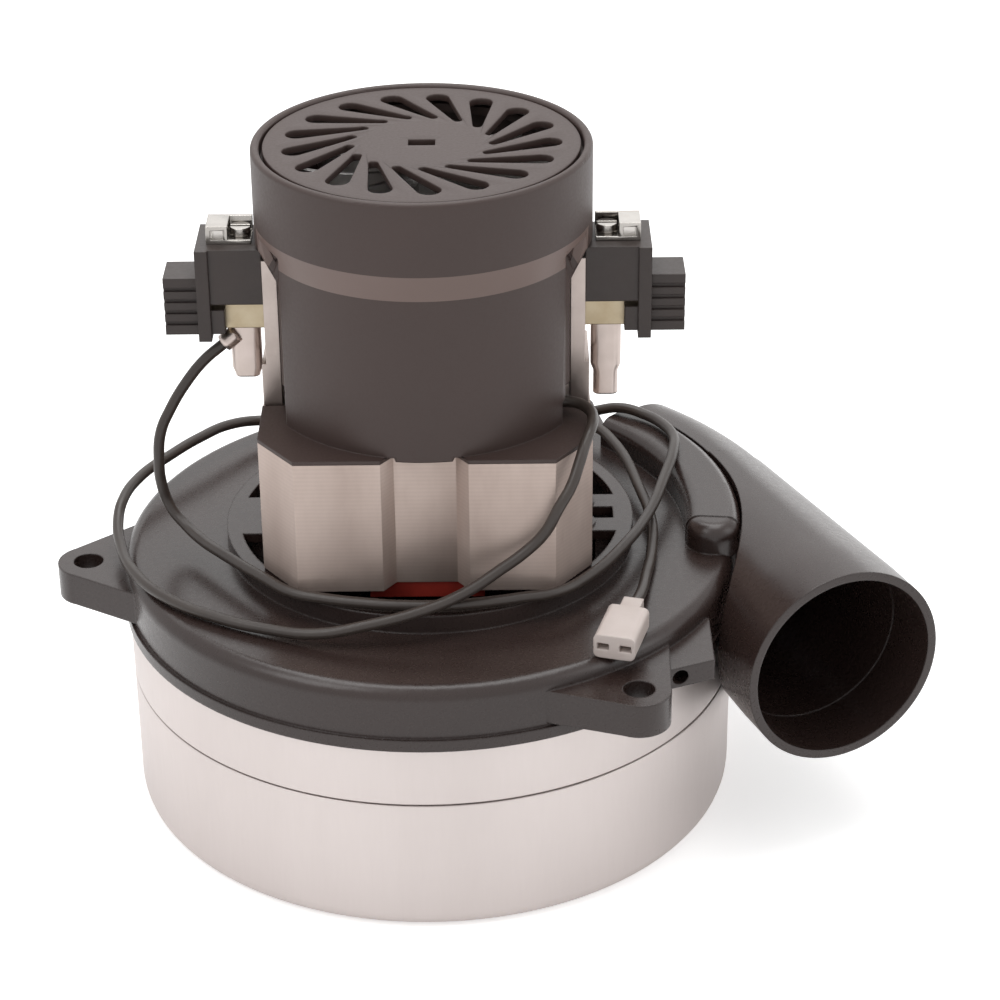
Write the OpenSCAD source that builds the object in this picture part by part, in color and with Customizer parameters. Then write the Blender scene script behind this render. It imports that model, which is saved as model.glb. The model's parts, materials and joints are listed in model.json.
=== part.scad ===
// Two-stage vacuum motor with a tangential discharge horn.
// Origin at the centre of the air inlet's outer face, +Z along the shaft.

/* [Fan case] */
// Outside diameter of the fan case
can_d = 144; // [141:1:148]
// Sheet thickness of the shells and fans
sheet_t = 1.2; // [0.8:0.1:1.4]
// Height of the inlet shell
inlet_shell_h = 33; // [31:0.5:40]
// Height of the stage shell's visible band
stage_shell_h = 14.4; // [13.4:0.2:18]
// Open seam between the two shells
seam_gap = 0.4; // [0.3:0.1:0.8]
// Bore of the air inlet
inlet_d = 45; // [38:1:48]
// Depth of the inlet collar
collar_h = 4; // [3:0.5:5]

/* [Fan-end bracket] */
// Height of the bracket from the shell to its deck
bracket_h = 15.2; // [14.2:0.2:16.6]
// Wall of the plastic mouldings
wall_t = 2.5; // [2:0.1:2.8]
// Diameter of the raised vent ring on the deck
vent_ring_d = 96; // [93:1:98]
// Height of the vent ring above the deck
vent_ring_h = 4.5; // [3.5:0.5:6]
// Height of the stator's seats above the vent ring
seat_h = 0.5; // [0.4:0.1:1.2]

/* [Mounting ears] */
// Bolt circle of the ears
ear_pcd = 162; // [158:1:168]
// Bolt hole in each ear
ear_hole_d = 7; // [5:0.5:8]
// Thickness of an ear
ear_t = 8; // [6:0.5:9]

/* [Discharge horn] */
// Outside diameter of the horn's cuff
horn_d = 48.3; // [46:0.1:50]
// Bore of the horn's mouth
horn_bore_d = 44.2; // [42:0.1:45]
// Distance from the shaft's plane to the horn's mouth
horn_reach = 71; // [68:1:90]
// Distance from the shaft to the horn's axis
horn_offset = 73.3; // [72:0.1:76]

/* [Stator] */
// Width of the lamination stack
stack_w = 75; // [74:0.5:77]
// Height of the lamination stack
stack_h = 32; // [26:1:40]
// Gap between armature and stator
air_gap = 0.6; // [0.4:0.1:0.8]
// Diameter of the armature
armature_d = 40; // [38:0.5:41]

/* [Vent cover] */
// Height of the vent cover
cover_h = 61.5; // [59:0.5:75]
// Outside diameter of the cover's lower drum
drum_d = 68; // [67.5:0.5:70]
// Outside diameter of the cover's upper drum
crown_d = 76; // [74:0.5:80]
// Number of slots in the grille
grille_slots = 17; // [9:1:17]

/* [Brush gear] */
// Height of the brush axis above the stator
brush_rise = 24; // [23:0.5:26]
// Width of a brush
brush_w = 6.6; // [6:0.2:7]
// Height of a brush
brush_h = 9.4; // [8:0.2:10]
// Length of a brush
brush_l = 21; // [19:0.5:23]
// Diameter of the commutator
comm_d = 24; // [22:0.5:26]

/* [Shaft and bearings] */
// Shaft diameter
shaft_d = 8; // [7.6:0.1:8.4]
// Outside diameter of the ball bearings
bearing_d = 22; // [21.5:0.1:22.5]
// Width of the ball bearings
bearing_w = 7; // [6.5:0.1:8]
// Diameter of the two air impellers
impeller_d = 130; // [110:1:132]

/* [Leads] */
// Diameter of the insulated leads
lead_d = 2.6; // [2:0.1:2.8]

/* [Hidden] */
$fn = 96;

// Margin by which cuts pass through a face
over = 1;
// Slip between pieces that are pressed or pushed together
slip = 0.05;
// Running gap between parts that turn or slide and their neighbours
run_gap = 0.3;

// Radii of the case
can_r = can_d / 2;
inlet_r = inlet_d / 2;
shell_corner = 4;
spigot_gap = 0.3;
spigot_r = can_r - sheet_t - spigot_gap;
spigot_h = 6;

// Heights of the case
z_stage = inlet_shell_h + seam_gap;
z_rim = z_stage + stage_shell_h;
z_deck = z_rim + bracket_h;
z_ring = z_deck + vent_ring_h;
z_stack = z_ring + seat_h;
z_stack_top = z_stack + stack_h;

// Bracket
lip_h = 2.8;
lip_out = 0.8;
shoulder_r = 3.4;
floor_rise = 3.2;
floor_t = 2;
floor_in = 12;
floor_r = can_r - floor_in;
z_floor = z_rim + floor_rise;
vent_ring_r = vent_ring_d / 2;
vent_wall_r = vent_ring_r - wall_t;
vent_inner_r = 36.4;
vent_window_in = vent_inner_r - over;
vent_window_out = vent_wall_r - 0.9;
rib_wide = 18;
rib_narrow = 6;
rib_slot = [5.4, 5.6];
rib_slot_r = vent_window_out - 1.3 - rib_slot[0] / 2;

// Volute lobe on the deck and the way through to the horn
lobe_r_out = can_r + 1.5;
lobe_r_in = can_r - 11.5;
lobe_from = -6;
lobe_to = 46;
lobe_top_r = 3.4;
lobe_nose_step = 0.2;
z_lobe = z_ring + 2.5;
z_port = z_floor;
port_from = -3;
port_to = 43;
port_top = z_lobe - wall_t - 1;

// Horn
horn_angle = 67.5;
horn_z = z_rim - 0.8;
horn_r = horn_d / 2;
horn_root_r = horn_r - 2.15;
horn_cuff_l = 10;
horn_bore_r = horn_bore_d / 2;
horn_bore_l = 16;
horn_throat_r = horn_bore_r - 0.15;
horn_root_bore_r = horn_root_r - 2.2;
horn_joint_gap = 0.15;
horn_inner_r = lobe_r_out + horn_joint_gap;
horn_back_r = horn_inner_r + 1.2;
horn_end_az = lobe_to;
horn_start_az = 90 - horn_angle;
horn_turn_step = 0.3;
horn_turn_lap = 2;
horn_end_wall = 2;

// Ears: the lug's two straight edges face 0 and 270 degrees on the front ear
ear_count = 3;
ear_edge = 7.2;
ear_spread = 36.5;
ear_side = ear_edge - 0.1;
ear_base = can_r - 10;
ear_front = 305;
ear_drop = 3.5;
z_ear = z_deck - ear_drop;
ear_at = [ear_pcd / 2 * cos(ear_front), ear_pcd / 2 * sin(ear_front)];
web_t = 5;
web_hole_r = 1.8;
web_reach = [17.5, 32];
web_front = [6.2, 13.6];
web_hole_at = [9.7, 5];
web_side = horn_offset - horn_r - 3;

// Bearings of the 608 kind
bearing_r = bearing_d / 2;
shaft_r = shaft_d / 2;
race_t = 1.9;
race_outer_r = bearing_r - race_t;
race_inner_r = shaft_r + slip + race_t;
ball_count = 7;
ball_pitch_r = (race_outer_r + race_inner_r) / 2;
ball_r = 1.98;
ball_groove_r = ball_r + run_gap;
cage_t = 0.9;
cage_h = 5.2;
pocket_gap = 0.12;
hub_t = 3.4;
hub_r = bearing_r + hub_t;
seat_lip_t = 2.5;
seat_lip_r = bearing_r - 4;
z_bearing = z_floor + seat_lip_t;
z_bearing_top = z_bearing + bearing_w;

// Stator
stack_half = stack_w / 2;
stack_chamfer = [8.5, 11.5];
notch_out = 19.5;
notch_in = 13.8;
notch_depth = 4;
armature_r = armature_d / 2;
pole_bore_r = armature_r + air_gap;
shoe_t = 3;
shoe_r = pole_bore_r + shoe_t;
shoe_half_angle = 55;
neck_half = 11;
yoke_y = 10;
yoke_x = 8;
slot_corner = 5;
screw_x = stack_half - 2.45;
screw_y = 5;
screw_r = 1.5;
screw_hole_gap = 0.15;
screw_head_r = 2.9;
screw_head_h = 2.5;
screw_head_up = 0.4;
screw_grip = 10;
boss_r = 4;

// Field coils, kept inside the cover's drum
drum_r = drum_d / 2;
cover_wall = 2;
coil_gap = 0.6;
coil_w = 6.2;
coil_in_x = neck_half + coil_gap;
coil_out_x = coil_in_x + coil_w;
coil_y0 = shoe_r + coil_gap - 2;
coil_y1 = min(stack_half - yoke_y - 1.4,
    sqrt(pow(drum_r - cover_wall - run_gap, 2) - pow(coil_out_x, 2)));
coil_end_gap = 0.5;
coil_end_h = 6.5;
coil_corner = 2;
wrap_t = 0.8;
wrap_out_y = stack_half - notch_depth - 0.5;
wrap_half = 13;
wrap_gap = 0.2;

// Brush gear heights and places
z_brush = z_stack_top + brush_rise;
slide_gap = 0.25;
tube_t = 0.8;
tube_in_w = brush_w + 2 * slide_gap;
tube_in_h = brush_h + 2 * slide_gap;
tube_w = tube_in_w + 2 * tube_t;
tube_h = tube_in_h + 2 * tube_t;
comm_r = comm_d / 2;
tube_x0 = comm_r + 2;
arm_x0 = stack_half - 4.6;
arm_x1 = stack_half - 1.3;
arm_half = 8.5;
arm_step = 1;
arm_step_h = 11;
arm_window_gap = 0.4;
arm_over = 12.4;
arm_top = z_brush + arm_over;
bridge_h = 6;
bridge_half = 7;
holder_l = 12;
holder_x1 = arm_x1 + holder_l;
holder_half = 7.5;
holder_up = 14.6;
holder_down = -1.4;
holder_heel = [3.1, 5.8];
plate_t = 2.9;
plate_x1 = holder_x1 + plate_t;
plate_up = holder_up;
plate_low = 7.4;
plate_half = 8.2;
cap_l = 7.8;
cap_half = 5;
cap_up = 6.8;
cap_low = 7;
cap_grooves = 4;
cap_groove = [0.9, 0.7];
cap_plug_l = 5;
plug_gap = 0.15;
tube_x1 = plate_x1;
brush_x0 = comm_r + run_gap;
brush_x1 = brush_x0 + brush_l;
spring_x0 = brush_x1 + slip;
spring_x1 = plate_x1 - cap_plug_l - slip;
spring_wire_r = 0.35;
spring_r = 2.4;
spring_turns = 7;
spring_rings = 8;
spring_sides = 6;

// Clamp on each holder, with its screw
clip_t = 1;
clip_half = 3.8;
clip_x0 = arm_x1 + 2.4;
clip_x1 = holder_x1 + 0.5;
clip_arch_x = arm_x1 + 7.6;
clip_arch_h = 4.2;
clip_screw_x = arm_x1 + 5;
clip_screw_r = 1.4;
clip_screw_l = 6.5;
clip_head_r = 2.4;
clip_head_h = 2;
clip_slot = 0.8;
z_holder = z_brush + holder_up;

// Terminals under the brush tubes
tab_t = 0.8;
tab_w = 4.8;
tab_x = arm_x1 + 5;
tab_l = 7;
terminal_wall = 0.7;
terminal_w = 7;
terminal_d = 3.6;
terminal_left_h = 13.2;
terminal_right_h = 18.5;
crimp_r = 2.1;
crimp_l = 5;

// Commutator
comm_h = 17;
comm_bars = 22;
bar_slit = 0.6;
bar_depth = 1.4;
riser_h = 3;
riser_out = 1.5;
comm_hub_r = comm_r - 3;
z_comm = z_brush - comm_h / 2;
z_comm_top = z_comm + comm_h;
z_bearing2 = z_comm_top + 1.2;
z_bearing2_top = z_bearing2 + bearing_w;
hub2_lip = 1.5;
hub2_skirt = 0.7;

// Vent cover
crown_r = crown_d / 2;
flange_h = 1.8;
z_cover_top = z_stack_top + cover_h;
z_drum_top = arm_top - 5;
z_crown = arm_top + 3.4;
slot_half = arm_half + 0.7;
slot_top = z_holder + 2 * run_gap;
slot_in_x = drum_r / 2;
// Openings beside the left arm, and beside the right arm where the field lead comes out
slot_flare_half = [arm_half + 4.6, arm_half + 9.9];
slot_flare_h = 6.3;
cover_rim_r = 1;
grille_t = 2;
grille_drop = 1.4;
grille_gap = 0.7;
grille_r = crown_r - cover_wall - grille_gap;
ledge_in = 3.5;
ledge_t = 2;
z_grille = z_cover_top - grille_drop - grille_t;
z_ledge = z_grille - ledge_t;
slot_in_r = 15.5;
slot_out_r = 30.2;
slot_in_w = 1.6;
slot_out_w = 6.4;
slot_sweep = 22;
slot_steps = 4;
key_slot = [6, 3.6];

// Rotor heights
core_inset = 1;
z_core = z_stack + core_inset;
z_core_top = z_stack_top - core_inset;
end_turn_h = 6.5;
end_turn_r = armature_r - 3;
end_turn_in = shaft_r + 3;
core_slots = 12;
core_slot_r = 2;
core_slot_mouth = 1.2;
core_slot_pitch = armature_r - 3.6;
bar_gap = 0.35;
shaft_collar_r = shaft_r + 2;
shaft_collar_h = 1.4;

// Air impellers and the stationary guide between them
impeller_r = impeller_d / 2;
guide_h = 8;
guide_gap = 1.7;
guide_r = can_r - 6;
guide_hole_gap = 1.5;
guide_vanes = 9;
inlet_gap = 2.5;
stage_gap = 2;
floor_gap = 0.4;
stage_eye_r = 22;
eye_r = inlet_r + 2;
vane_count = 8;
vane_t = 1;
vane_in = 27;
vane_curve = 46;
blade_inset = 0.6;
washer_t = 1;
washer_r = 9;
nut_af = 13;
nut_h = 5.2;
nut_stud = 2;
spacer_r = shaft_r + 2.4;
z_guide = z_stage - guide_h;
z_fan1 = collar_h + inlet_gap;
z_fan1_top = z_guide - sheet_t - guide_gap;
z_fan2 = z_stage + sheet_t + stage_gap;
z_fan2_top = z_floor - washer_t - floor_gap;
z_nut = z_fan1_top - sheet_t - washer_t - nut_h;

// Cooling fan under the grille
cool_neck_r = shaft_r + 1.9;
cool_hub_r = shaft_r + 4.5;
cool_lift = 4.8;
cool_gap = 1;
cool_r = crown_r - cover_wall - ledge_in - 1.4;
cool_blades = 11;
cool_blade_t = 1.2;
cool_blade_curve = 24;
z_cool = z_bearing2_top + cool_lift;
z_cool_top = z_ledge - cool_gap;
z_shaft_top = z_cool_top + 0.5;

// Leads: points along each route, and the connector housings on their ends
lead_r = lead_d / 2;
lead_sides = 8;
lead_rest = 0.3;
lead_deck = lead_r + lead_rest;
// Heights of the routes: lying on the deck, lying on the vent ring, over the lobe
low = z_deck + lead_deck;
mid = z_ring + lead_deck;
high = z_lobe + lead_deck;
brush_lead_route = [
    [-tab_x - 5, -1, z_brush - 11], [-51, -1.6, z_brush - 15], [-55.2, -2.4, z_brush - 20],
    [-59.3, -3.4, z_brush - 26.5], [-61.8, -4.4, z_stack + 24], [-62.6, -5, z_stack + 17],
    [-62.4, -5, z_stack + 11], [-60.6, -5.4, z_stack + 5], [-57, -8.4, mid + 0.6],
    [-52.8, -14, mid - 0.4], [-47.8, -20.4, mid - 0.3], [-37, -33, mid], [-30.5, -39.4, mid],
    [-22.4, -42.6, mid], [-14, -44.6, mid], [-6, -45.8, mid], [6, -45.8, mid], [14, -44.6, mid],
    [21.4, -42.8, mid], [29.2, -40.6, mid], [36.4, -33.6, mid], [44.6, -20.5, mid + 0.2], [52, -2.7, mid + 0.2],
    [56, 11, high - 0.8], [59, 24, high + 0.2], [59.4, 31, high + 0.2], [57.5, 37, high + 0.2],
    [53, 43, high + 0.2], [47, 47, high + 0.2], [39.5, 49.5, high - 2], [31, 52, low + 3], [22, 54.5, low + 1.4],
    [14, 55, low + 1.4]
];
field_lead_route = [
    [coil_out_x + 0.5, -24, z_stack_top + 3.6], [20, -23.1, z_stack_top + 3.7],
    [22.3, -20.4, z_stack_top + 3.9], [25.4, -17, z_stack_top + 4],
    [29.4, -14.9, z_stack_top + 4], [33.6, -15.2, z_stack_top + 4], [36.6, -18, z_stack_top + 3.8],
    [37.6, -22.4, z_stack_top + 3.6], [36.9, -27.5, z_stack_top + 3.3], [35.6, -31.5, z_stack_top + 1.8],
    [34.2, -35, z_stack_top - 1.2], [32.4, -38.2, z_stack_top - 5.2], [29.6, -40.2, z_stack_top - 9.6],
    [26.5, -40.6, z_stack + 16.4], [22, -41.4, z_stack + 11.9], [16.5, -43.4, z_stack + 8.6],
    [8.6, -46.9, mid + 3.7], [-1.5, -51, mid + 1.3], [-12.6, -52.7, mid - 0.9], [-24, -52.5, low + 1.4],
    [-35.5, -48.4, low + 0.3], [-47.2, -42.6, low], [-59.2, -33.7, low], [-67.7, -22.2, low],
    [-72.5, -9, low + 0.2], [-74, 0, low + 2], [-73.5, 6, mid - 0.5], [-70.5, 16, mid + 0.5], [-64, 27, mid + 0.9],
    [-57.5, 36, mid + 1.1], [-51, 44, mid + 0.5], [-43, 49.5, mid - 1.1], [-32, 48.5, mid - 1.1],
    [-20, 45, mid], [-4, 44.5, mid], [14, 44.5, mid], [29, 44, mid + 0.4], [39.5, 41, mid + 0.8],
    [44.6, 33, mid + 0.4], [50.5, 11, mid - 1.9], [52.4, -2.2, low + 1.4], [51.8, -14.6, low + 0.3],
    [50, -25.6, low + 0.2], [48.4, -34.6, low + 0.8], [46.4, -41.6, low + 1.4]
];
connector_l = 14;
connector_neck_l = 5;
connector_w = 9.4;
connector_h = 5.8;
connector_neck = [4.6, 4.4];
connector_slot = [2.6, 1.5, 8];
connector_slot_x = 2.5;
connector_corner = 1.4;

// Tube wall between two radii, standing on a height
module sleeve(r_out, r_in, z0, z1) {
    translate([0, 0, z0])
        difference() {
            cylinder(r = r_out, h = z1 - z0);
            translate([0, 0, -over])
                cylinder(r = r_in, h = z1 - z0 + 2 * over);
        }
}

// Upright round post between two heights
module post(r, z0, z1) {
    translate([0, 0, z0])
        cylinder(r = r, h = z1 - z0);
}

// Box given by its lowest and highest corners
module block(low, high) {
    translate(low)
        cube(high - low);
}

// Children repeated evenly round the shaft
module around(count, start = 0) {
    for (i = [0 : count - 1])
        rotate([0, 0, start + 360 * i / count])
            children();
}

// Flat wedge of a circle between two directions less than 180 degrees apart
module wedge(r, from, to) {
    mid = (from + to) / 2;
    far = r / cos((to - from) / 4) * 1.1;
    polygon([
        [0, 0], [far * cos(from), far * sin(from)], [far * cos(mid), far * sin(mid)],
        [far * cos(to), far * sin(to)]
    ]);
}

// Curved blade lying between two radii, as an arc of one circle
module arc_blade(r_in, r_out, curve, t) {
    intersection() {
        difference() {
            circle(r = r_out);
            circle(r = r_in);
        }
        translate([r_in, -curve])
            difference() {
                circle(r = curve + t / 2);
                circle(r = curve - t / 2);
            }
        translate([0, -r_out])
            square([r_out, 2 * r_out]);
    }
}

// Tapered slot that sweeps round as it runs outwards
function slot_edge(side, t) =
    let (r = slot_in_r + (slot_out_r - slot_in_r) * t,
         w = slot_in_w + (slot_out_w - slot_in_w) * t,
         a = slot_sweep * t)
    [r * cos(a) - side * w / 2 * sin(a), r * sin(a) + side * w / 2 * cos(a)];

module swept_slot() {
    polygon(concat(
        [for (i = [0 : slot_steps]) slot_edge(-1, i / slot_steps)],
        [for (i = [slot_steps : -1 : 0]) slot_edge(1, i / slot_steps)]
    ));
}

// Rectangle with round corners, centred, made of exact arcs
module round_rect(w, h, r) {
    square([w - 2 * r, h], center = true);
    square([w, h - 2 * r], center = true);
    for (x = [-1, 1], y = [-1, 1])
        translate([x * (w / 2 - r), y * (h / 2 - r)])
            circle(r = r);
}

function unit(v) = v / norm(v);
function turn_of(p, i) = unit(p[min(i + 1, len(p) - 1)] - p[max(i - 1, 0)]);

// Sideways directions carried along the route without twisting
function frames(p, i = 0, side = [0, 0, 1]) =
    let (t = turn_of(p, i), s = unit(side - (side * t) * t))
    i == len(p) - 1 ? [[s, cross(t, s)]] : concat([[s, cross(t, s)]], frames(p, i + 1, s));

// Round tube of one polyhedron along a list of points
module tube_along(p, r, sides, side) {
    n = len(p);
    f = frames(p, 0, side);
    points = [
        for (i = [0 : n - 1], k = [0 : sides - 1])
            p[i] + r * (cos(360 * k / sides) * f[i][0] + sin(360 * k / sides) * f[i][1])
    ];
    sides_faces = [
        for (i = [0 : n - 2], k = [0 : sides - 1], half = [0, 1])
            let (a = i * sides + k, b = i * sides + (k + 1) % sides)
            half == 0 ? [a, a + sides, b] : [b, a + sides, b + sides]
    ];
    start_faces = [for (k = [1 : sides - 2]) [0, k, k + 1]];
    base = (n - 1) * sides;
    end_faces = [for (k = [1 : sides - 2]) [base, base + k + 1, base + k]];
    polyhedron(points = points, faces = concat(sides_faces, start_faces, end_faces));
}

// Horn's own frame: Z along the horn, at its axis
module horn_frame() {
    rotate([0, 0, -horn_angle])
        translate([0, horn_offset, horn_z])
            rotate([0, 90, 0])
                children();
}

// Turned part of the horn behind its straight run, at a bore or outside radius
module horn_turn(r, end_az) {
    from = horn_start_az - horn_turn_lap;
    translate([0, 0, horn_z])
        rotate([0, 0, from])
            rotate_extrude(angle = end_az - from)
                translate([horn_offset, 0])
                    circle(r = r);
}

// Horn outside
module horn_outside() {
    cuff = horn_reach - horn_cuff_l;
    horn_frame() {
        cylinder(r1 = horn_root_r, r2 = horn_r, h = cuff);
        translate([0, 0, cuff])
            cylinder(r = horn_r, h = horn_cuff_l);
    }
    horn_turn(horn_root_r - horn_turn_step, horn_end_az);
}

// Air way inside the horn
module horn_way() {
    throat = horn_reach - horn_bore_l;
    horn_frame() {
        cylinder(r1 = horn_root_bore_r, r2 = horn_throat_r, h = throat + over / 2);
        translate([0, 0, throat])
            cylinder(r = horn_bore_r, h = horn_bore_l + over);
    }
    horn_turn(horn_root_bore_r - horn_turn_step, horn_end_az - horn_end_wall);
}

// Plan of a lug along +X: round end about the ear's hole, sides that spread towards the wall
module ear_plan() {
    c = ear_pcd / 2;
    tip = [c + ear_side * sin(ear_spread), ear_side * cos(ear_spread)];
    base = [ear_base, (ear_side + (c - ear_base) * sin(ear_spread)) / cos(ear_spread)];
    polygon([[base[0], -base[1]], [tip[0], -tip[1]], tip, base]);
    translate([c, 0])
        circle(r = ear_edge);
}

// Ring sector of square section between two directions
module sector(r_in, r_out, z0, z1, from, to) {
    rotate([0, 0, from])
        rotate_extrude(angle = to - from)
            translate([r_in, z0])
                square([r_out - r_in, z1 - z0]);
}

// Hump of the volute with the wall under it: profile carried round, with a round front end
module lobe(z0) {
    half = (lobe_r_out - lobe_r_in) / 2;
    nose = half - lobe_nose_step;
    rotate([0, 0, lobe_from])
        rotate_extrude(angle = lobe_to - lobe_from)
            translate([lobe_r_in + half, 0]) {
                translate([can_r - wall_t / 2 - lobe_r_in - half, z_rim + lip_h / 2])
                    square([lobe_r_out - can_r + wall_t / 2, z_deck - z_rim - lip_h / 2]);
                translate([-half, z0])
                    square([2 * half, z_lobe - z0 - lobe_top_r]);
                translate([lobe_top_r - half, z0])
                    square([2 * half - 2 * lobe_top_r, z_lobe - z0]);
                translate([half - lobe_top_r, z_lobe - lobe_top_r])
                    circle(r = lobe_top_r);
                translate([lobe_top_r - half, z_lobe - lobe_top_r])
                    circle(r = lobe_top_r);
            }
    rotate([0, 0, lobe_from])
        translate([lobe_r_in + half, 0, 0])
            rotate_extrude() {
                translate([0, z0])
                    square([nose, z_lobe - z0 - lobe_top_r - lobe_nose_step]);
                translate([0, z0])
                    square([nose - lobe_top_r, z_lobe - z0 - lobe_nose_step]);
                translate([nose - lobe_top_r, z_lobe - lobe_top_r - lobe_nose_step])
                    circle(r = lobe_top_r);
            }
}

// Plain stator outline with its chamfered corners
module stack_outline() {
    a = stack_half;
    cx = a - stack_chamfer[0];
    cy = a - stack_chamfer[1];
    polygon([
        [-cx, -a], [cx, -a], [a, -cy], [a, cy], [cx, a], [-cx, a], [-a, cy], [-a, -cy]
    ]);
}

// Slanted notch in the middle of the front and rear faces
module stack_notches() {
    for (s = [-1, 1])
        polygon([
            [-notch_out / 2, s * stack_half], [-notch_in / 2, s * (stack_half - notch_depth)],
            [notch_in / 2, s * (stack_half - notch_depth)], [notch_out / 2, s * stack_half],
            [notch_out / 2, s * (stack_half + over)], [-notch_out / 2, s * (stack_half + over)]
        ]);
}

// Children at the four through screws
module at_screws() {
    for (x = [-1, 1], y = [-1, 1])
        translate([x * screw_x, y * screw_y, 0])
            children();
}

module inlet_shell() {
    color("gainsboro") {
        rotate_extrude() {
            translate([inlet_r, 0])
                square([sheet_t, collar_h]);
            translate([inlet_r, 0])
                square([can_r - shell_corner - inlet_r, sheet_t]);
            translate([can_r - sheet_t, shell_corner])
                square([sheet_t, inlet_shell_h - shell_corner]);
            translate([can_r - shell_corner, shell_corner])
                intersection() {
                    difference() {
                        circle(r = shell_corner);
                        circle(r = shell_corner - sheet_t);
                    }
                    translate([0, -shell_corner])
                        square([shell_corner, shell_corner]);
                }
        }
    }
}

module stage_shell() {
    color("gainsboro") {
        sleeve(can_r, can_r - sheet_t, z_stage, z_rim);
        sleeve(can_r, stage_eye_r, z_stage, z_stage + sheet_t);
        sleeve(spigot_r, spigot_r - sheet_t, z_stage - spigot_h, z_stage + sheet_t / 2);
    }
}

module diffuser() {
    color("silver") {
        sleeve(guide_r, spacer_r + guide_hole_gap, z_guide - sheet_t, z_guide);
        translate([0, 0, z_guide - sheet_t / 2])
            around(guide_vanes)
                mirror([0, 1, 0])
                    linear_extrude(guide_h + sheet_t / 2)
                        arc_blade(vane_in, guide_r - blade_inset, vane_curve, vane_t);
    }
}

module bracket_shell() {
    rotate_extrude() {
        translate([can_r - wall_t, z_rim])
            square([wall_t, bracket_h - shoulder_r]);
        translate([can_r - wall_t, z_rim])
            square([wall_t + lip_out, lip_h]);
        translate([can_r - shoulder_r, z_deck - shoulder_r])
            circle(r = shoulder_r);
        translate([vent_wall_r, z_deck - wall_t])
            square([can_r - shoulder_r - vent_wall_r, wall_t]);
        translate([vent_wall_r, z_deck - wall_t])
            square([wall_t, vent_ring_h + wall_t]);
        translate([vent_inner_r, z_ring - wall_t])
            square([vent_wall_r - vent_inner_r + wall_t / 2, wall_t]);
        translate([vent_wall_r, z_floor])
            square([wall_t, z_deck - z_floor]);
        translate([bearing_r + slip, z_floor])
            square([floor_r - bearing_r - slip, floor_t]);
        translate([bearing_r + slip, z_floor])
            square([hub_t, seat_lip_t + bearing_w]);
        translate([seat_lip_r, z_floor])
            square([bearing_r + slip + over / 2 - seat_lip_r, seat_lip_t]);
    }
}

// Openings in the vent ring, left between broad and narrow ribs
module vent_windows() {
    difference() {
        sleeve(vent_window_out, vent_window_in, z_ring - wall_t - over, z_ring + over);
        block([-can_r, -rib_wide / 2, z_floor], [can_r, rib_wide / 2, z_stack]);
        for (a = [45, 135])
            rotate([0, 0, a])
                block([-can_r, -rib_narrow / 2, z_floor], [can_r, rib_narrow / 2, z_stack]);
    }
    block([rib_slot_r - rib_slot[0] / 2, -rib_slot[1] / 2, z_ring - wall_t - over],
          [rib_slot_r + rib_slot[0] / 2, rib_slot[1] / 2, z_ring + over]);
}

// Plan of the web between the front ear and the horn
module web_plan() {
    difference() {
        translate(ear_at)
            polygon([[0, web_front[0]], [web_reach[0], web_front[1]], web_reach, [0, web_reach[1]]]);
        circle(r = can_r - wall_t / 2);
        rotate(-horn_angle)
            translate([-can_r, web_side])
                square([3 * can_r, can_r]);
    }
}

module fan_end_bracket() {
    color("dimgray")
        difference() {
            union() {
                difference() {
                    bracket_shell();
                    vent_windows();
                }
                lobe(z_deck - wall_t / 2);
                around(ear_count, ear_front)
                    translate([0, 0, z_ear - ear_t])
                        linear_extrude(ear_t)
                            difference() {
                                ear_plan();
                                circle(r = can_r - wall_t / 2);
                            }
                translate([0, 0, z_ear - web_t - over])
                    linear_extrude(web_t)
                        web_plan();
                at_screws()
                    post(boss_r, z_floor + floor_t / 2, z_stack);
            }
            sector(lobe_r_in + wall_t, lobe_r_out - wall_t, z_floor + floor_t, z_lobe - wall_t,
                   lobe_from + horn_end_wall, lobe_to - horn_end_wall);
            sector(lobe_r_out - wall_t - over, lobe_r_out + over, z_port, port_top, port_from, port_to);
            around(ear_count, ear_front)
                translate([ear_pcd / 2, 0, 0])
                    post(ear_hole_d / 2, z_ear - ear_t - over, z_ear + over);
            translate([ear_at[0] + web_hole_at[0], ear_at[1] + web_front[0], z_ear - web_t / 2 - over])
                rotate([-90, 0, 0])
                    cylinder(r = web_hole_r, h = 2 * web_hole_at[1]);
            at_screws() {
                post(screw_r + slip, z_floor - over, z_stack + over);
                post(screw_head_r + screw_hole_gap, z_floor - over, z_floor + screw_head_up + screw_head_h);
            }
        }
}

module discharge_horn() {
    color("dimgray")
        difference() {
            horn_outside();
            post(horn_inner_r, 0, z_stack_top);
            difference() {
                horn_way();
                post(horn_back_r, 0, z_port);
            }
        }
}

module bearing_outer(z0) {
    color("silver")
        translate([0, 0, z0])
            rotate_extrude()
                difference() {
                    translate([race_outer_r, 0])
                        square([race_t, bearing_w]);
                    translate([ball_pitch_r, bearing_w / 2])
                        circle(r = ball_groove_r);
                }
}

module bearing_inner(z0) {
    color("silver")
        translate([0, 0, z0])
            rotate_extrude()
                difference() {
                    translate([shaft_r + slip, 0])
                        square([race_t, bearing_w]);
                    translate([ball_pitch_r, bearing_w / 2])
                        circle(r = ball_groove_r);
                }
}

module bearing_cage(z0) {
    color("tan")
        translate([0, 0, z0 + bearing_w / 2])
            difference() {
                sleeve(ball_pitch_r + cage_t / 2, ball_pitch_r - cage_t / 2, -cage_h / 2, cage_h / 2);
                around(ball_count)
                    rotate([0, 90, 0])
                        cylinder(r = ball_r + pocket_gap, h = bearing_r);
            }
}

module bearing_balls(z0) {
    color("lightsteelblue")
        translate([0, 0, z0 + bearing_w / 2])
            around(ball_count)
                translate([ball_pitch_r, 0, 0])
                    sphere(r = ball_r);
}

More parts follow.
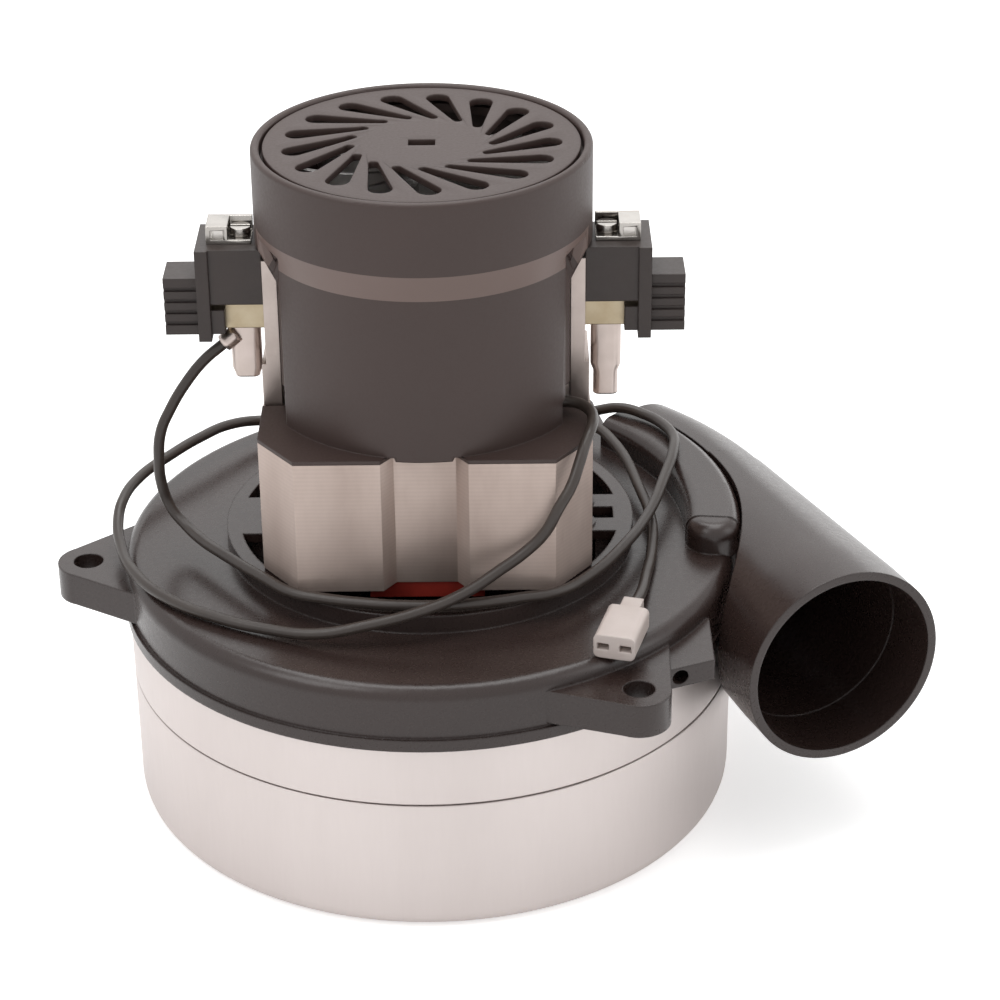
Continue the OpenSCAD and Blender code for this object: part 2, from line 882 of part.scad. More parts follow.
module stator_core() {
    color("lightgray")
        difference() {
            translate([0, 0, z_stack])
                linear_extrude(stack_h) {
                    difference() {
                        stack_outline();
                        stack_notches();
                        round_rect(stack_w - 2 * yoke_x, stack_w - 2 * yoke_y, slot_corner);
                    }
                    for (a = [90, 270])
                        rotate(a) {
                            translate([shoe_r - shoe_t / 2, -neck_half])
                                square([stack_half - yoke_y - shoe_r + shoe_t, 2 * neck_half]);
                            intersection() {
                                difference() {
                                    circle(r = shoe_r);
                                    circle(r = pole_bore_r);
                                }
                                wedge(shoe_r, -shoe_half_angle, shoe_half_angle);
                            }
                        }
                }
            at_screws()
                post(screw_r + screw_hole_gap, z_stack - over, z_stack_top + over);
        }
}

// Field coil as a flat loop round one pole, facing the given direction
module field_coil(a) {
    z_mid = (z_stack + z_stack_top) / 2;
    inner_h = stack_h + 2 * coil_end_gap;
    color("sienna")
        rotate([0, 0, a])
            translate([coil_y0, 0, z_mid])
                rotate([90, 0, 90])
                    linear_extrude(coil_y1 - coil_y0)
                        difference() {
                            round_rect(2 * coil_out_x, inner_h + 2 * coil_end_h, coil_corner);
                            square([2 * coil_in_x, inner_h], center = true);
                        }
}

// Red insulation under the stack, turned down in front of the coil's end
module coil_wrap(a) {
    top = z_stack - wrap_gap;
    low = z_stack - coil_end_gap - coil_end_h;
    color("firebrick")
        rotate([0, 0, a]) {
            block([coil_y1 + wrap_gap, -wrap_half, top - wrap_t], [wrap_out_y, wrap_half, top]);
            block([wrap_out_y - wrap_t, -wrap_half, top - 0.6 * coil_end_h], [wrap_out_y, wrap_half, top]);
            block([coil_y1 + wrap_gap, -wrap_half, low], [coil_y1 + wrap_gap + wrap_t, wrap_half, top]);
        }
}

// One side of the end bracket: thick foot, slotted arm and the bar to the hub
module bracket_arm() {
    difference() {
        union() {
            block([arm_x0, -arm_half, z_stack_top], [arm_x1, arm_half, arm_top]);
            block([arm_x0, -arm_half, z_stack_top], [arm_x1 + arm_step, arm_half, z_stack_top + arm_step_h]);
            block([hub_r - hub_t / 2, -bridge_half, arm_top - bridge_h], [arm_x1, bridge_half, arm_top]);
        }
        block([arm_x0 - over, -tube_w / 2 - arm_window_gap, z_brush - tube_h / 2 - arm_window_gap],
              [arm_x1 + over, tube_w / 2 + arm_window_gap, z_brush + tube_h / 2 + arm_window_gap]);
    }
}

module end_bracket() {
    color("silver")
        difference() {
            union() {
                around(2)
                    bracket_arm();
                sleeve(hub_r, bearing_r + slip, z_bearing2 - hub2_skirt, z_bearing2_top + hub2_lip);
                sleeve(hub_r, seat_lip_r, z_bearing2_top, z_bearing2_top + hub2_lip);
            }
            at_screws()
                post(screw_r + slip, z_stack_top - over, z_stack_top + screw_grip + over / 2);
        }
}

module vent_cover() {
    color("dimgray")
        difference() {
            union() {
                translate([0, 0, z_stack_top])
                    linear_extrude(flange_h)
                        difference() {
                            stack_outline();
                            stack_notches();
                            circle(r = drum_r - cover_wall);
                        }
                rotate_extrude() {
                    translate([drum_r - cover_wall, z_stack_top])
                        square([cover_wall, z_drum_top - z_stack_top]);
                    polygon([
                        [drum_r - cover_wall, z_drum_top], [drum_r, z_drum_top],
                        [crown_r, z_crown], [crown_r - cover_wall, z_crown]
                    ]);
                    translate([crown_r - cover_wall, z_crown])
                        square([cover_wall, z_cover_top - z_crown - cover_rim_r]);
                    translate([crown_r - cover_rim_r, z_cover_top - cover_rim_r])
                        circle(r = cover_rim_r);
                    translate([crown_r - cover_wall - ledge_in, z_ledge])
                        square([ledge_in + cover_wall / 2, ledge_t]);
                }
            }
            around(2) {
                block([slot_in_x, -slot_half, z_stack_top - over], [stack_w, slot_half, slot_top]);
                block([clip_x0 - run_gap, -clip_half - run_gap, z_holder - over],
                      [stack_w, clip_half + run_gap, z_holder + clip_arch_h + over]);
            }
            for (i = [0, 1])
                rotate([0, 0, 180 * (1 - i)])
                    block([slot_in_x, -slot_flare_half[i], z_stack_top + flange_h],
                          [stack_w, slot_flare_half[i], z_stack_top + slot_flare_h]);
        }
}

module vent_grille() {
    color("dimgray")
        difference() {
            post(grille_r, z_grille, z_grille + grille_t);
            translate([0, 0, z_grille - over])
                linear_extrude(grille_t + 2 * over) {
                    for (i = [0 : grille_slots - 1])
                        rotate(360 * i / grille_slots)
                            swept_slot();
                    square(key_slot, center = true);
                }
        }
}

// Pieces of the right-hand brush gear, mirrored for the left
module sided(side) {
    if (side < 0)
        mirror([1, 0, 0])
            children();
    else
        children();
}

module brush_holder(side) {
    color("dimgray")
        sided(side)
            difference() {
                union() {
                    block([arm_x1, -holder_half, z_brush - holder_down],
                          [holder_x1, holder_half, z_brush + holder_up]);
                    block([holder_x1 - slip, -plate_half, z_brush - plate_low],
                          [plate_x1, plate_half, z_brush + plate_up]);
                    block([holder_x1 - holder_heel[0], -holder_half, z_brush - holder_heel[1]],
                          [holder_x1, holder_half, z_brush]);
                }
                block([arm_x1 - over, -tube_w / 2 - plug_gap, z_brush - tube_h / 2 - plug_gap],
                      [plate_x1 + over, tube_w / 2 + plug_gap, z_brush + tube_h / 2 + plug_gap]);
                translate([clip_screw_x, 0, 0])
                    post(clip_screw_r + slip, z_holder - clip_screw_l, z_holder + over);
            }
}

module brush_tube(side) {
    color("goldenrod")
        sided(side) {
            difference() {
                block([tube_x0, -tube_w / 2, z_brush - tube_h / 2], [tube_x1, tube_w / 2, z_brush + tube_h / 2]);
                block([tube_x0 - over, -tube_in_w / 2, z_brush - tube_in_h / 2],
                      [tube_x1 + over, tube_in_w / 2, z_brush + tube_in_h / 2]);
            }
            block([tab_x - tab_w / 2, -tab_t / 2, z_brush - tube_h / 2 - tab_l],
                  [tab_x + tab_w / 2, tab_t / 2, z_brush - tube_h / 2 + tube_t / 2]);
        }
}

module brush_cap(side) {
    color("dimgray")
        sided(side) {
            difference() {
                block([plate_x1, -cap_half, z_brush - cap_low], [plate_x1 + cap_l, cap_half, z_brush + cap_up]);
                for (i = [1 : cap_grooves], s = [-1, 1])
                    translate([0, s * cap_half, z_brush - cap_low + i * (cap_up + cap_low) / (cap_grooves + 1)])
                        cube([2 * (plate_x1 + cap_l + over), 2 * cap_groove[1], cap_groove[0]], center = true);
            }
            block([plate_x1 - cap_plug_l, -tube_in_w / 2 + plug_gap, z_brush - tube_in_h / 2 + plug_gap],
                  [plate_x1 + over, tube_in_w / 2 - plug_gap, z_brush + tube_in_h / 2 - plug_gap]);
        }
}

module holder_clip(side) {
    color("gainsboro")
        sided(side)
            difference() {
                union() {
                    block([clip_x0, -clip_half, z_holder], [clip_x1, clip_half, z_holder + clip_t]);
                    block([clip_x0, clip_half - clip_t, z_holder],
                          [clip_arch_x + clip_t, clip_half, z_holder + clip_arch_h]);
                    difference() {
                        block([clip_arch_x, -clip_half, z_holder], [clip_x1, clip_half, z_holder + clip_arch_h]);
                        block([clip_arch_x + clip_t, -clip_half - over, z_holder + clip_t],
                              [clip_x1 - clip_t, clip_half + over, z_holder + clip_arch_h - clip_t]);
                    }
                }
                translate([clip_screw_x, 0, 0])
                    post(clip_screw_r + screw_hole_gap, z_holder - over, z_holder + clip_t + over);
            }
}

module clip_screws() {
    color("silver")
        for (s = [-1, 1])
            translate([s * clip_screw_x, 0, 0])
                difference() {
                    union() {
                        post(clip_screw_r, z_holder - clip_screw_l + over, z_holder + clip_t + over / 2);
                        post(clip_head_r, z_holder + clip_t, z_holder + clip_t + clip_head_h);
                    }
                    translate([0, 0, z_holder + clip_t + clip_head_h])
                        cube([2 * clip_head_r + over, clip_slot, clip_head_h], center = true);
                }
}

module through_screws() {
    color("silver")
        at_screws() {
            post(screw_r, z_floor + screw_head_up, z_stack_top + screw_grip);
            post(screw_head_r, z_floor + screw_head_up, z_floor + screw_head_up + screw_head_h - slip);
        }
}

// Push-on terminal over the tab under a brush tube, with anything added to it
module terminal(side, h) {
    top = z_brush - tube_h / 2 - run_gap;
    difference() {
        union() {
            sided(side)
                block([tab_x - terminal_w / 2, -terminal_d / 2, top - h],
                      [tab_x + terminal_w / 2, terminal_d / 2, top]);
            children();
        }
        sided(side)
            block([tab_x - tab_w / 2 - slip, -tab_t / 2 - slip, z_brush - tube_h / 2 - tab_l - slip],
                  [tab_x + tab_w / 2 + slip, tab_t / 2 + slip, top + over]);
    }
}

module terminal_left() {
    start = brush_lead_route[0];
    along = unit(brush_lead_route[1] - start);
    color("silver")
        terminal(-1, terminal_left_h)
            translate(start - crimp_l * along)
                rotate([0, acos(along[2]), atan2(along[1], along[0])])
                    cylinder(r = crimp_r, h = crimp_l);
}

module terminal_right() {
    color("silver")
        terminal(1, terminal_right_h);
}

module lead(route) {
    color("dimgray")
        tube_along(route, lead_r, lead_sides, [0, 1, 0]);
}

// Push-on connector housing, with its neck at the end of a lead
module connector(route) {
    tip = route[len(route) - 1];
    back = route[len(route) - 2];
    heading = atan2(tip[1] - back[1], tip[0] - back[0]);
    color("whitesmoke")
        translate(tip)
            rotate([0, 0, heading])
                difference() {
                    union() {
                        block([0, -connector_neck[0] / 2, -connector_neck[1] / 2],
                              [connector_neck_l + over, connector_neck[0] / 2, connector_neck[1] / 2]);
                        translate([connector_neck_l, 0, 0])
                            rotate([90, 0, 90])
                                linear_extrude(connector_l)
                                    round_rect(connector_w, connector_h, connector_corner);
                    }
                    for (s = [-1, 1])
                        translate([connector_neck_l + connector_l, s * connector_slot_x, 0])
                            cube([2 * connector_slot[2], connector_slot[0], connector_slot[1]], center = true);
                }
}

module shaft() {
    color("silver") {
        post(shaft_r, z_nut - nut_stud, z_shaft_top);
        post(shaft_collar_r, z_bearing_top, z_bearing_top + shaft_collar_h);
    }
}

module armature_core() {
    color("slategray")
        difference() {
            sleeve(armature_r, shaft_r + slip, z_core, z_core_top);
            around(core_slots) {
                translate([core_slot_pitch, 0, 0])
                    post(core_slot_r, z_core - over, z_core_top + over);
                block([core_slot_pitch, -core_slot_mouth / 2, z_core - over],
                      [armature_r + over, core_slot_mouth / 2, z_core_top + over]);
            }
        }
}

module armature_winding() {
    color("peru") {
        sleeve(end_turn_r + slip, end_turn_in, z_core - end_turn_h, z_core);
        sleeve(end_turn_r + slip, end_turn_in, z_core_top, z_core_top + end_turn_h);
        around(core_slots)
            translate([core_slot_pitch, 0, 0])
                post(core_slot_r - bar_gap, z_core - over, z_core_top + over);
    }
}

module commutator() {
    color("chocolate")
        difference() {
            union() {
                sleeve(comm_r, comm_hub_r + slip, z_comm, z_comm_top);
                sleeve(comm_r + riser_out, comm_hub_r + slip, z_comm - riser_h, z_comm);
            }
            around(comm_bars)
                block([comm_r - bar_depth, -bar_slit / 2, z_comm - riser_h - over],
                      [comm_r + riser_out + over, bar_slit / 2, z_comm_top + over]);
        }
}

module commutator_hub() {
    color("saddlebrown") {
        sleeve(comm_hub_r, shaft_r + slip, z_comm - riser_h, z_comm_top);
        sleeve(shaft_collar_r, shaft_r + slip, z_comm_top, z_bearing2);
    }
}

module cooling_fan() {
    color("silver") {
        sleeve(cool_neck_r, shaft_r + slip, z_bearing2_top, z_cool_top);
        sleeve(cool_hub_r, shaft_r + slip, z_cool, z_cool_top);
        sleeve(cool_r, shaft_r + slip, z_cool, z_cool + sheet_t);
        translate([0, 0, z_cool + sheet_t / 2])
            linear_extrude(z_cool_top - z_cool - sheet_t / 2)
                for (i = [0 : cool_blades - 1])
                    rotate(360 * i / cool_blades)
                        arc_blade(cool_hub_r - over / 2, cool_r - blade_inset, cool_blade_curve, cool_blade_t);
    }
}

// Closed impeller: eye in the lower disc, bored disc above, curved vanes between
module impeller(z0, z1, eye) {
    color("lightgray") {
        sleeve(impeller_r, eye, z0, z0 + sheet_t);
        sleeve(impeller_r, shaft_r + slip, z1 - sheet_t, z1);
        translate([0, 0, z0 + sheet_t / 2])
            linear_extrude(z1 - z0 - sheet_t)
                for (i = [0 : vane_count - 1])
                    rotate(360 * i / vane_count)
                        arc_blade(vane_in, impeller_r - blade_inset, vane_curve, vane_t);
    }
}

module impeller_lower() {
    impeller(z_fan1, z_fan1_top, eye_r);
}

module impeller_upper() {
    impeller(z_fan2, z_fan2_top, eye_r);
}

module fan_spacer_lower() {
    color("silver")
        sleeve(spacer_r, shaft_r + slip, z_fan1_top, z_fan2_top - sheet_t);
}

module fan_spacer_upper() {
    color("silver")
        sleeve(spacer_r, shaft_r + slip, z_fan2_top + washer_t, z_bearing);
}

module fan_washers() {
    color("silver") {
        sleeve(washer_r, shaft_r + slip, z_fan1_top - sheet_t - washer_t, z_fan1_top - sheet_t);
        sleeve(washer_r, shaft_r + slip, z_fan2_top, z_fan2_top + washer_t);
    }
}

module fan_nut() {
    color("gold")
        difference() {
            translate([0, 0, z_nut])
                cylinder(r = nut_af / 2 / cos(30), h = nut_h, $fn = 6);
            post(shaft_r + slip, z_nut - over, z_nut + nut_h + over);
        }
}

module brush(side) {
    color("darkslategray")
        sided(side)
            difference() {
                block([0, -brush_w / 2, z_brush - brush_h / 2], [brush_x1, brush_w / 2, z_brush + brush_h / 2]);
                post(brush_x0, z_brush - brush_h, z_brush + brush_h);
            }
}

// Coil spring behind a brush, one unbroken wire
spring_points = [
    for (i = [0 : spring_turns * spring_rings])
        let (a = 360 * i / spring_rings,
             run = spring_x1 - spring_x0 - 2 * spring_wire_r)
        [spring_x0 + spring_wire_r + run * i / (spring_turns * spring_rings),
         spring_r * cos(a), z_brush + spring_r * sin(a)]
];
spring_least_gap = min([
    for (i = [0 : len(spring_points) - 1 - spring_rings])
        norm(spring_points[i] - spring_points[i + spring_rings]) - 2 * spring_wire_r
]);
echo(spring_least_gap = spring_least_gap);

module brush_spring(side) {
    color("lightsteelblue")
        sided(side)
            tube_along(spring_points, spring_wire_r, spring_sides, [1, 0, 0]);
}

inlet_shell();
stage_shell();
diffuser();
fan_end_bracket();
discharge_horn();
bearing_outer(z_bearing);  // bearing_lower_outer
bearing_inner(z_bearing);  // bearing_lower_inner
bearing_cage(z_bearing);  // bearing_lower_cage
bearing_balls(z_bearing);  // bearing_lower_balls
stator_core();
field_coil(270);  // field_coil_front
field_coil(90);  // field_coil_rear
coil_wrap(270);  // coil_wrap_front
coil_wrap(90);  // coil_wrap_rear
end_bracket();
bearing_outer(z_bearing2);  // bearing_upper_outer
bearing_inner(z_bearing2);  // bearing_upper_inner
bearing_cage(z_bearing2);  // bearing_upper_cage
bearing_balls(z_bearing2);  // bearing_upper_balls
vent_cover();
vent_grille();
brush_holder(-1);  // brush_holder_left
brush_holder(1);  // brush_holder_right
brush_tube(-1);  // brush_tube_left
brush_tube(1);  // brush_tube_right
brush_cap(-1);  // brush_cap_left
brush_cap(1);  // brush_cap_right
holder_clip(-1);  // holder_clip_left
holder_clip(1);  // holder_clip_right
clip_screws();
through_screws();
terminal_left();
terminal_right();
lead(brush_lead_route);  // brush_lead
lead(field_lead_route);  // field_lead
connector(brush_lead_route);  // brush_lead_connector
connector(field_lead_route);  // field_lead_connector
shaft();
armature_core();
armature_winding();
commutator();
commutator_hub();
cooling_fan();
impeller_lower();
impeller_upper();
fan_spacer_lower();
fan_spacer_upper();
fan_washers();
fan_nut();
brush(-1);  // brush_left
brush(1);  // brush_right
brush_spring(-1);  // brush_spring_left
brush_spring(1);  // brush_spring_right
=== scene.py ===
"""Looks of a two-stage vacuum motor unit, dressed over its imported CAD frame.

All sizes in the classes are millimetres in the CAD frame; meshes are written in metres.
"""

import json
import logging
import math
from dataclasses import dataclass
from enum import Enum
from typing import Callable

import bmesh
import bpy
import numpy as np
from mathutils import Matrix, Vector


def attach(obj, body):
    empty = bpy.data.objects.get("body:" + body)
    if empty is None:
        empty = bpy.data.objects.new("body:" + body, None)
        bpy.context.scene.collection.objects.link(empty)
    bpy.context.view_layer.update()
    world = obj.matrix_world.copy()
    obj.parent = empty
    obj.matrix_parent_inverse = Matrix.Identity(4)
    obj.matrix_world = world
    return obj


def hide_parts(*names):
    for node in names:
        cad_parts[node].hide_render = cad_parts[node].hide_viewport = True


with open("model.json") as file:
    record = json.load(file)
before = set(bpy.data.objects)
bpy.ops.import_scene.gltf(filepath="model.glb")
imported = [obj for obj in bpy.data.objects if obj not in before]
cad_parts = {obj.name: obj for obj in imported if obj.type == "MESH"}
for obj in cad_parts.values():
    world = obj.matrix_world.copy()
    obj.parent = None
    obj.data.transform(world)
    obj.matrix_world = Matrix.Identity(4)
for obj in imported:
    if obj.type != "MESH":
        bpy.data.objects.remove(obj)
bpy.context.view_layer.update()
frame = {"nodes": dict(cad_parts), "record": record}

MM = 0.001
LOG = logging.getLogger("vacuum_motor")
Array = np.ndarray
Object = bpy.types.Object
Tree = bpy.types.NodeTree
Socket = bpy.types.NodeSocket
Pair = tuple[float, float]
Point = tuple[float, float, float]
Shell = tuple[Array, Array]
# Metres within which points of a new mesh, or of a copied CAD mesh, are merged
NEW_WELD, COPY_WELD = 1e-6, 2e-6
# Bend under which neighbouring faces of a copied CAD mesh count as one flat face
FLAT_DEG = 0.6
# Sockets of a mix node's colours, which share their names with its other kinds
MIX_A, MIX_B, MIX_OUT = 6, 7, 2
# Part of a noise's range that holds nearly all its values
NOISE_SPAN = (0.3, 0.7)
# Distance between the bands of a wave texture at a scale of 1
WAVE_PITCH = 0.314159


class Side(Enum):
    """The two ends of the brush axis, as the sign of X."""

    LEFT = -1
    RIGHT = 1


def linear(code: str) -> tuple[float, float, float, float]:
    """Turn an sRGB hex colour into linear RGBA.

    Args:
        code: colour such as "#4e4846".

    Returns:
        Linear red, green, blue and an alpha of 1.
    """
    parts = [int(code[i : i + 2], 16) / 255 for i in (1, 3, 5)]
    bent = [v / 12.92 if v <= 0.04045 else ((v + 0.055) / 1.055) ** 2.4 for v in parts]
    return (*bent, 1.0)


def add(
    tree: Tree, kind: str, links: dict[str | int, float | tuple | Socket] | None = None, **settings
) -> bpy.types.Node:
    """Add one shader node with its settings and links.

    Args:
        tree: node tree that takes the node.
        kind: the node's type name.
        links: input name or index to a value or to another node's output.
        settings: attributes set on the node itself.

    Returns:
        The new node.
    """
    node = tree.nodes.new(kind)
    for key, value in settings.items():
        setattr(node, key, value)
    for key, value in (links or {}).items():
        if isinstance(value, Socket):
            tree.links.new(value, node.inputs[key])
        else:
            node.inputs[key].default_value = value
    return node


def ramp(tree: Tree, value: Socket, low: float, high: float, span: Pair = (0.0, 1.0)) -> Socket:
    """Map a value from its span to the range from low to high, held at both ends.

    Args:
        tree: node tree that takes the node.
        value: output to map.
        low: result at the span's start.
        high: result at the span's end.
        span: the value's own range.

    Returns:
        The mapped output.
    """
    ends = {"From Min": span[0], "From Max": span[1], "To Min": low, "To Max": high}
    return add(tree, "ShaderNodeMapRange", {"Value": value, **ends}).outputs[0]


@dataclass(frozen=True)
class Finish:
    """One surface finish, made into a procedural material.

    Colour drifts between two tones over cloud_mm, and a grain of grain_mm moves roughness and
    bump. Edges shade as if rounded over edge_mm. Where bands_mm is set, level lines that far
    apart darken the colour by band_mix and take the grain's place in the bump.
    """

    name: str
    colour: str
    shade: str
    roughness: float
    spread: float = 0.06
    grain_mm: float = 1.0
    depth_mm: float = 0.01
    cloud_mm: float = 16.0
    metallic: float = 0.0
    ior: float = 1.5
    coat: float = 0.0
    coat_roughness: float = 0.1
    transmission: float = 0.0
    stretch: Point = (1.0, 1.0, 1.0)
    bands_mm: float = 0.0
    band_mix: float = 0.0
    edge_mm: float = 0.3

    def noise(self, tree: Tree, size_mm: float, detail: float) -> Socket:
        """Add a noise in object space, stretched as the finish asks.

        Args:
            tree: node tree that takes the nodes.
            size_mm: size of its spots.
            detail: its number of finer octaves.

        Returns:
            The noise's value.
        """
        place = add(tree, "ShaderNodeTexCoord").outputs["Object"]
        run = add(tree, "ShaderNodeMapping", {"Vector": place, "Scale": self.stretch}).outputs[0]
        links = {"Vector": run, "Scale": 1 / MM / size_mm, "Detail": detail}
        return add(tree, "ShaderNodeTexNoise", links).outputs["Fac"]

    def material(self) -> bpy.types.Material:
        """Build the node material, or give back the one already built.

        Returns:
            The material named for this finish.
        """
        made = bpy.data.materials.get(self.name)
        if made:
            return made
        made = bpy.data.materials.new(self.name)
        made.use_nodes = True
        tree = made.node_tree
        tree.nodes.clear()
        grain = self.noise(tree, self.grain_mm, 3.0)
        drift = ramp(tree, self.noise(tree, self.cloud_mm, 4.0), 0.0, 1.0, NOISE_SPAN)
        tones = {0: drift, MIX_A: linear(self.colour), MIX_B: linear(self.shade)}
        colour = add(tree, "ShaderNodeMix", tones, data_type="RGBA").outputs[MIX_OUT]
        height = grain
        if self.bands_mm:
            place = add(tree, "ShaderNodeTexCoord").outputs["Object"]
            pitch = {"Vector": place, "Scale": WAVE_PITCH / MM / self.bands_mm}
            uneven = {"Distortion": 0.4, "Detail": 1.0}
            lines = add(tree, "ShaderNodeTexWave", pitch | uneven, bands_direction="Z")
            height = lines.outputs["Fac"]
            fade = ramp(tree, height, 1.0 - self.band_mix, 1.0)
            darker = {0: 1.0, MIX_A: colour, MIX_B: fade}
            mix = add(tree, "ShaderNodeMix", darker, data_type="RGBA", blend_type="MULTIPLY")
            colour = mix.outputs[MIX_OUT]
        smooth, coarse = self.roughness - self.spread, self.roughness + self.spread
        edge = add(tree, "ShaderNodeBevel", {"Radius": self.edge_mm * MM}, samples=4).outputs[0]
        relief = {"Height": height, "Distance": self.depth_mm * MM, "Normal": edge}
        shader = add(
            tree,
            "ShaderNodeBsdfPrincipled",
            {
                "Base Color": colour,
                "Roughness": ramp(tree, grain, smooth, coarse, NOISE_SPAN),
                "Normal": add(tree, "ShaderNodeBump", {"Strength": 1.0, **relief}).outputs[0],
                "Metallic": self.metallic,
                "IOR": self.ior,
                "Coat Weight": self.coat,
                "Coat Roughness": self.coat_roughness,
                "Transmission Weight": self.transmission,
            },
        )
        add(tree, "ShaderNodeOutputMaterial", {"Surface": shader.outputs[0]})
        return made


# Zinc-plated deep-drawn steel: pale satin, with faint draw lines up the wall
CASE_STEEL = Finish(
    "drawn_zinc_steel", "#d5ccc9", "#cdc4c1", roughness=0.46, spread=0.03, grain_mm=0.9,
    depth_mm=0.002, cloud_mm=40, metallic=0.8, stretch=(1, 1, 0.12),
)
# Phenolic moulded in a polished tool: near black with a soft gloss
BLACK_MOULDING = Finish(
    "black_phenolic", "#332724", "#2e2320", roughness=0.28, spread=0.03, grain_mm=1.4,
    depth_mm=0.003, cloud_mm=30, edge_mm=0.6,
)
# Glass-filled nylon from an etched tool: matt, warm grey
COVER_MOULDING = Finish(
    "grained_nylon", "#40312d", "#3c2e2a", roughness=0.5, spread=0.04, grain_mm=0.7,
    depth_mm=0.012, cloud_mm=30, edge_mm=0.4,
)
# Same nylon on the cover's flare, a little smoother; its colour is painted paler to stand for the
# table's light reflected up onto the downward-facing flare
FLARE_PAINTED_TABLE_LIGHT = Finish(
    "flare_nylon_painted_table_light", "#73605a", "#6c5a53", roughness=0.4, spread=0.03, grain_mm=0.9, depth_mm=0.002,
    cloud_mm=30, edge_mm=0.4,
)
# Same nylon on the brush holders, a little darker and smoother
HOLDER_MOULDING = Finish(
    "holder_nylon", "#352a26", "#2f2522", roughness=0.44, spread=0.04, grain_mm=0.8,
    depth_mm=0.008, cloud_mm=14, edge_mm=0.5,
)
# Stacked electrical steel: satin sheet edges as fine lines, at twice the true pitch to show
LAMINATIONS = Finish(
    "lamination_edges", "#c8b7ae", "#b4a299", roughness=0.5, spread=0.05, grain_mm=1.2,
    depth_mm=0.003, cloud_mm=14, metallic=0.6, stretch=(1, 1, 0.3), bands_mm=1.0, band_mix=0.05,
)
# Stamped aluminium, rolled grain across the arms
BRACKET_ALLOY = Finish(
    "stamped_aluminium", "#b9ada7", "#aca09a", roughness=0.34, spread=0.05, grain_mm=0.8,
    depth_mm=0.003, cloud_mm=12, metallic=1.0, stretch=(1, 0.2, 1),
)
# Rolled aluminium sheet of the fans
FAN_ALLOY = Finish(
    "rolled_aluminium", "#d4d2d0", "#c6c3c1", roughness=0.35, spread=0.05, depth_mm=0.003,
    cloud_mm=14, metallic=1.0, stretch=(0.3, 1, 1),
)
# Enamelled copper wire: golden brown with a clear glaze
MAGNET_WIRE = Finish(
    "enamelled_copper", "#c07a34", "#9a5424", roughness=0.26, spread=0.05, grain_mm=0.6,
    depth_mm=0.002, cloud_mm=6, metallic=0.85, coat=0.4,
)
# Turned copper of the commutator
COMMUTATOR_COPPER = Finish(
    "turned_copper", "#c08058", "#a9683f", roughness=0.32, grain_mm=0.5, depth_mm=0.003,
    cloud_mm=6, metallic=1.0,
)
# Red varnished sheet insulation
SLOT_INSULATION = Finish(
    "red_varnished_sheet", "#b43e33", "#8f2e26", roughness=0.36, grain_mm=0.9, cloud_mm=7,
)
# Ground bearing steel
BEARING_STEEL = Finish(
    "ground_steel", "#cfcfd0", "#c2c2c4", roughness=0.18, spread=0.04, grain_mm=0.8,
    depth_mm=0.001, cloud_mm=8, metallic=1.0,
)
# Natural nylon of the ball cages
CAGE_NYLON = Finish(
    "natural_nylon", "#d8c9a0", "#c8b88c", roughness=0.45, spread=0.05, grain_mm=0.8, cloud_mm=8,
)
# Drawn brass, pale and slightly tarnished
DRAWN_BRASS = Finish(
    "drawn_brass", "#b3a68f", "#a3947b", roughness=0.34, spread=0.04, grain_mm=0.9, depth_mm=0.001,
    cloud_mm=6, metallic=1.0,
)
# Bright zinc plate on straps and screws
ZINC_STEEL = Finish(
    "bright_zinc", "#b9b5b0", "#aca7a2", roughness=0.24, spread=0.02, grain_mm=2.0,
    depth_mm=0.0002, cloud_mm=6, metallic=1.0, edge_mm=0.25,
)
# Tinned brass of the push-on terminals
TIN_PLATE = Finish(
    "tinned_brass", "#c4b7b1", "#b9aca5", roughness=0.3, spread=0.02, grain_mm=2.0,
    depth_mm=0.0002, cloud_mm=6, metallic=1.0, edge_mm=0.2,
)
# Soft vinyl insulation
LEAD_VINYL = Finish(
    "grey_vinyl", "#3b332e", "#352d29", roughness=0.38, spread=0.04, grain_mm=0.9, depth_mm=0.004,
    cloud_mm=9,
)
# Milky nylon of the connector housings
CONNECTOR_NYLON = Finish(
    "milky_nylon", "#dccfc9", "#d0c2bb", roughness=0.34, spread=0.04, depth_mm=0.004, cloud_mm=8,
    transmission=0.15, edge_mm=0.5,
)
# Dark brown contact set deep in a connector
CONTACT_BRASS = Finish(
    "contact_brass", "#4a2f1a", "#33200f", roughness=0.4, grain_mm=0.8, depth_mm=0.004, cloud_mm=3,
    metallic=0.6,
)
# Moulded resin under the commutator bars
HUB_RESIN = Finish(
    "brown_resin", "#6a3a22", "#552d1a", roughness=0.5, spread=0.05, grain_mm=0.8, cloud_mm=8,
)
# Pressed carbon
CARBON = Finish(
    "pressed_carbon", "#2b2b2c", "#343435", roughness=0.5, spread=0.08, grain_mm=0.4,
    depth_mm=0.02, cloud_mm=3,
)

# Finish that goes with each material slot of the record
SLOT_FINISH = {
    "case_steel": CASE_STEEL,
    "black_moulding": BLACK_MOULDING,
    "cover_moulding": COVER_MOULDING,
    "holder_moulding": HOLDER_MOULDING,
    "laminations": LAMINATIONS,
    "bracket_alloy": BRACKET_ALLOY,
    "fan_alloy": FAN_ALLOY,
    "magnet_wire": MAGNET_WIRE,
    "commutator_copper": COMMUTATOR_COPPER,
    "slot_insulation": SLOT_INSULATION,
    "bearing_steel": BEARING_STEEL,
    "ground_steel": BEARING_STEEL,
    "spring_steel": BEARING_STEEL,
    "cage_nylon": CAGE_NYLON,
    "brass": DRAWN_BRASS,
    "zinc_steel": ZINC_STEEL,
    "tin_plate": TIN_PLATE,
    "lead_insulation": LEAD_VINYL,
    "connector_nylon": CONNECTOR_NYLON,
    "hub_moulding": HUB_RESIN,
    "carbon": CARBON,
}
BODIES = frame["record"]["behaviour"]["bodies"]
NODE_BODY = {node: body for body, nodes in BODIES.items() for node in nodes}
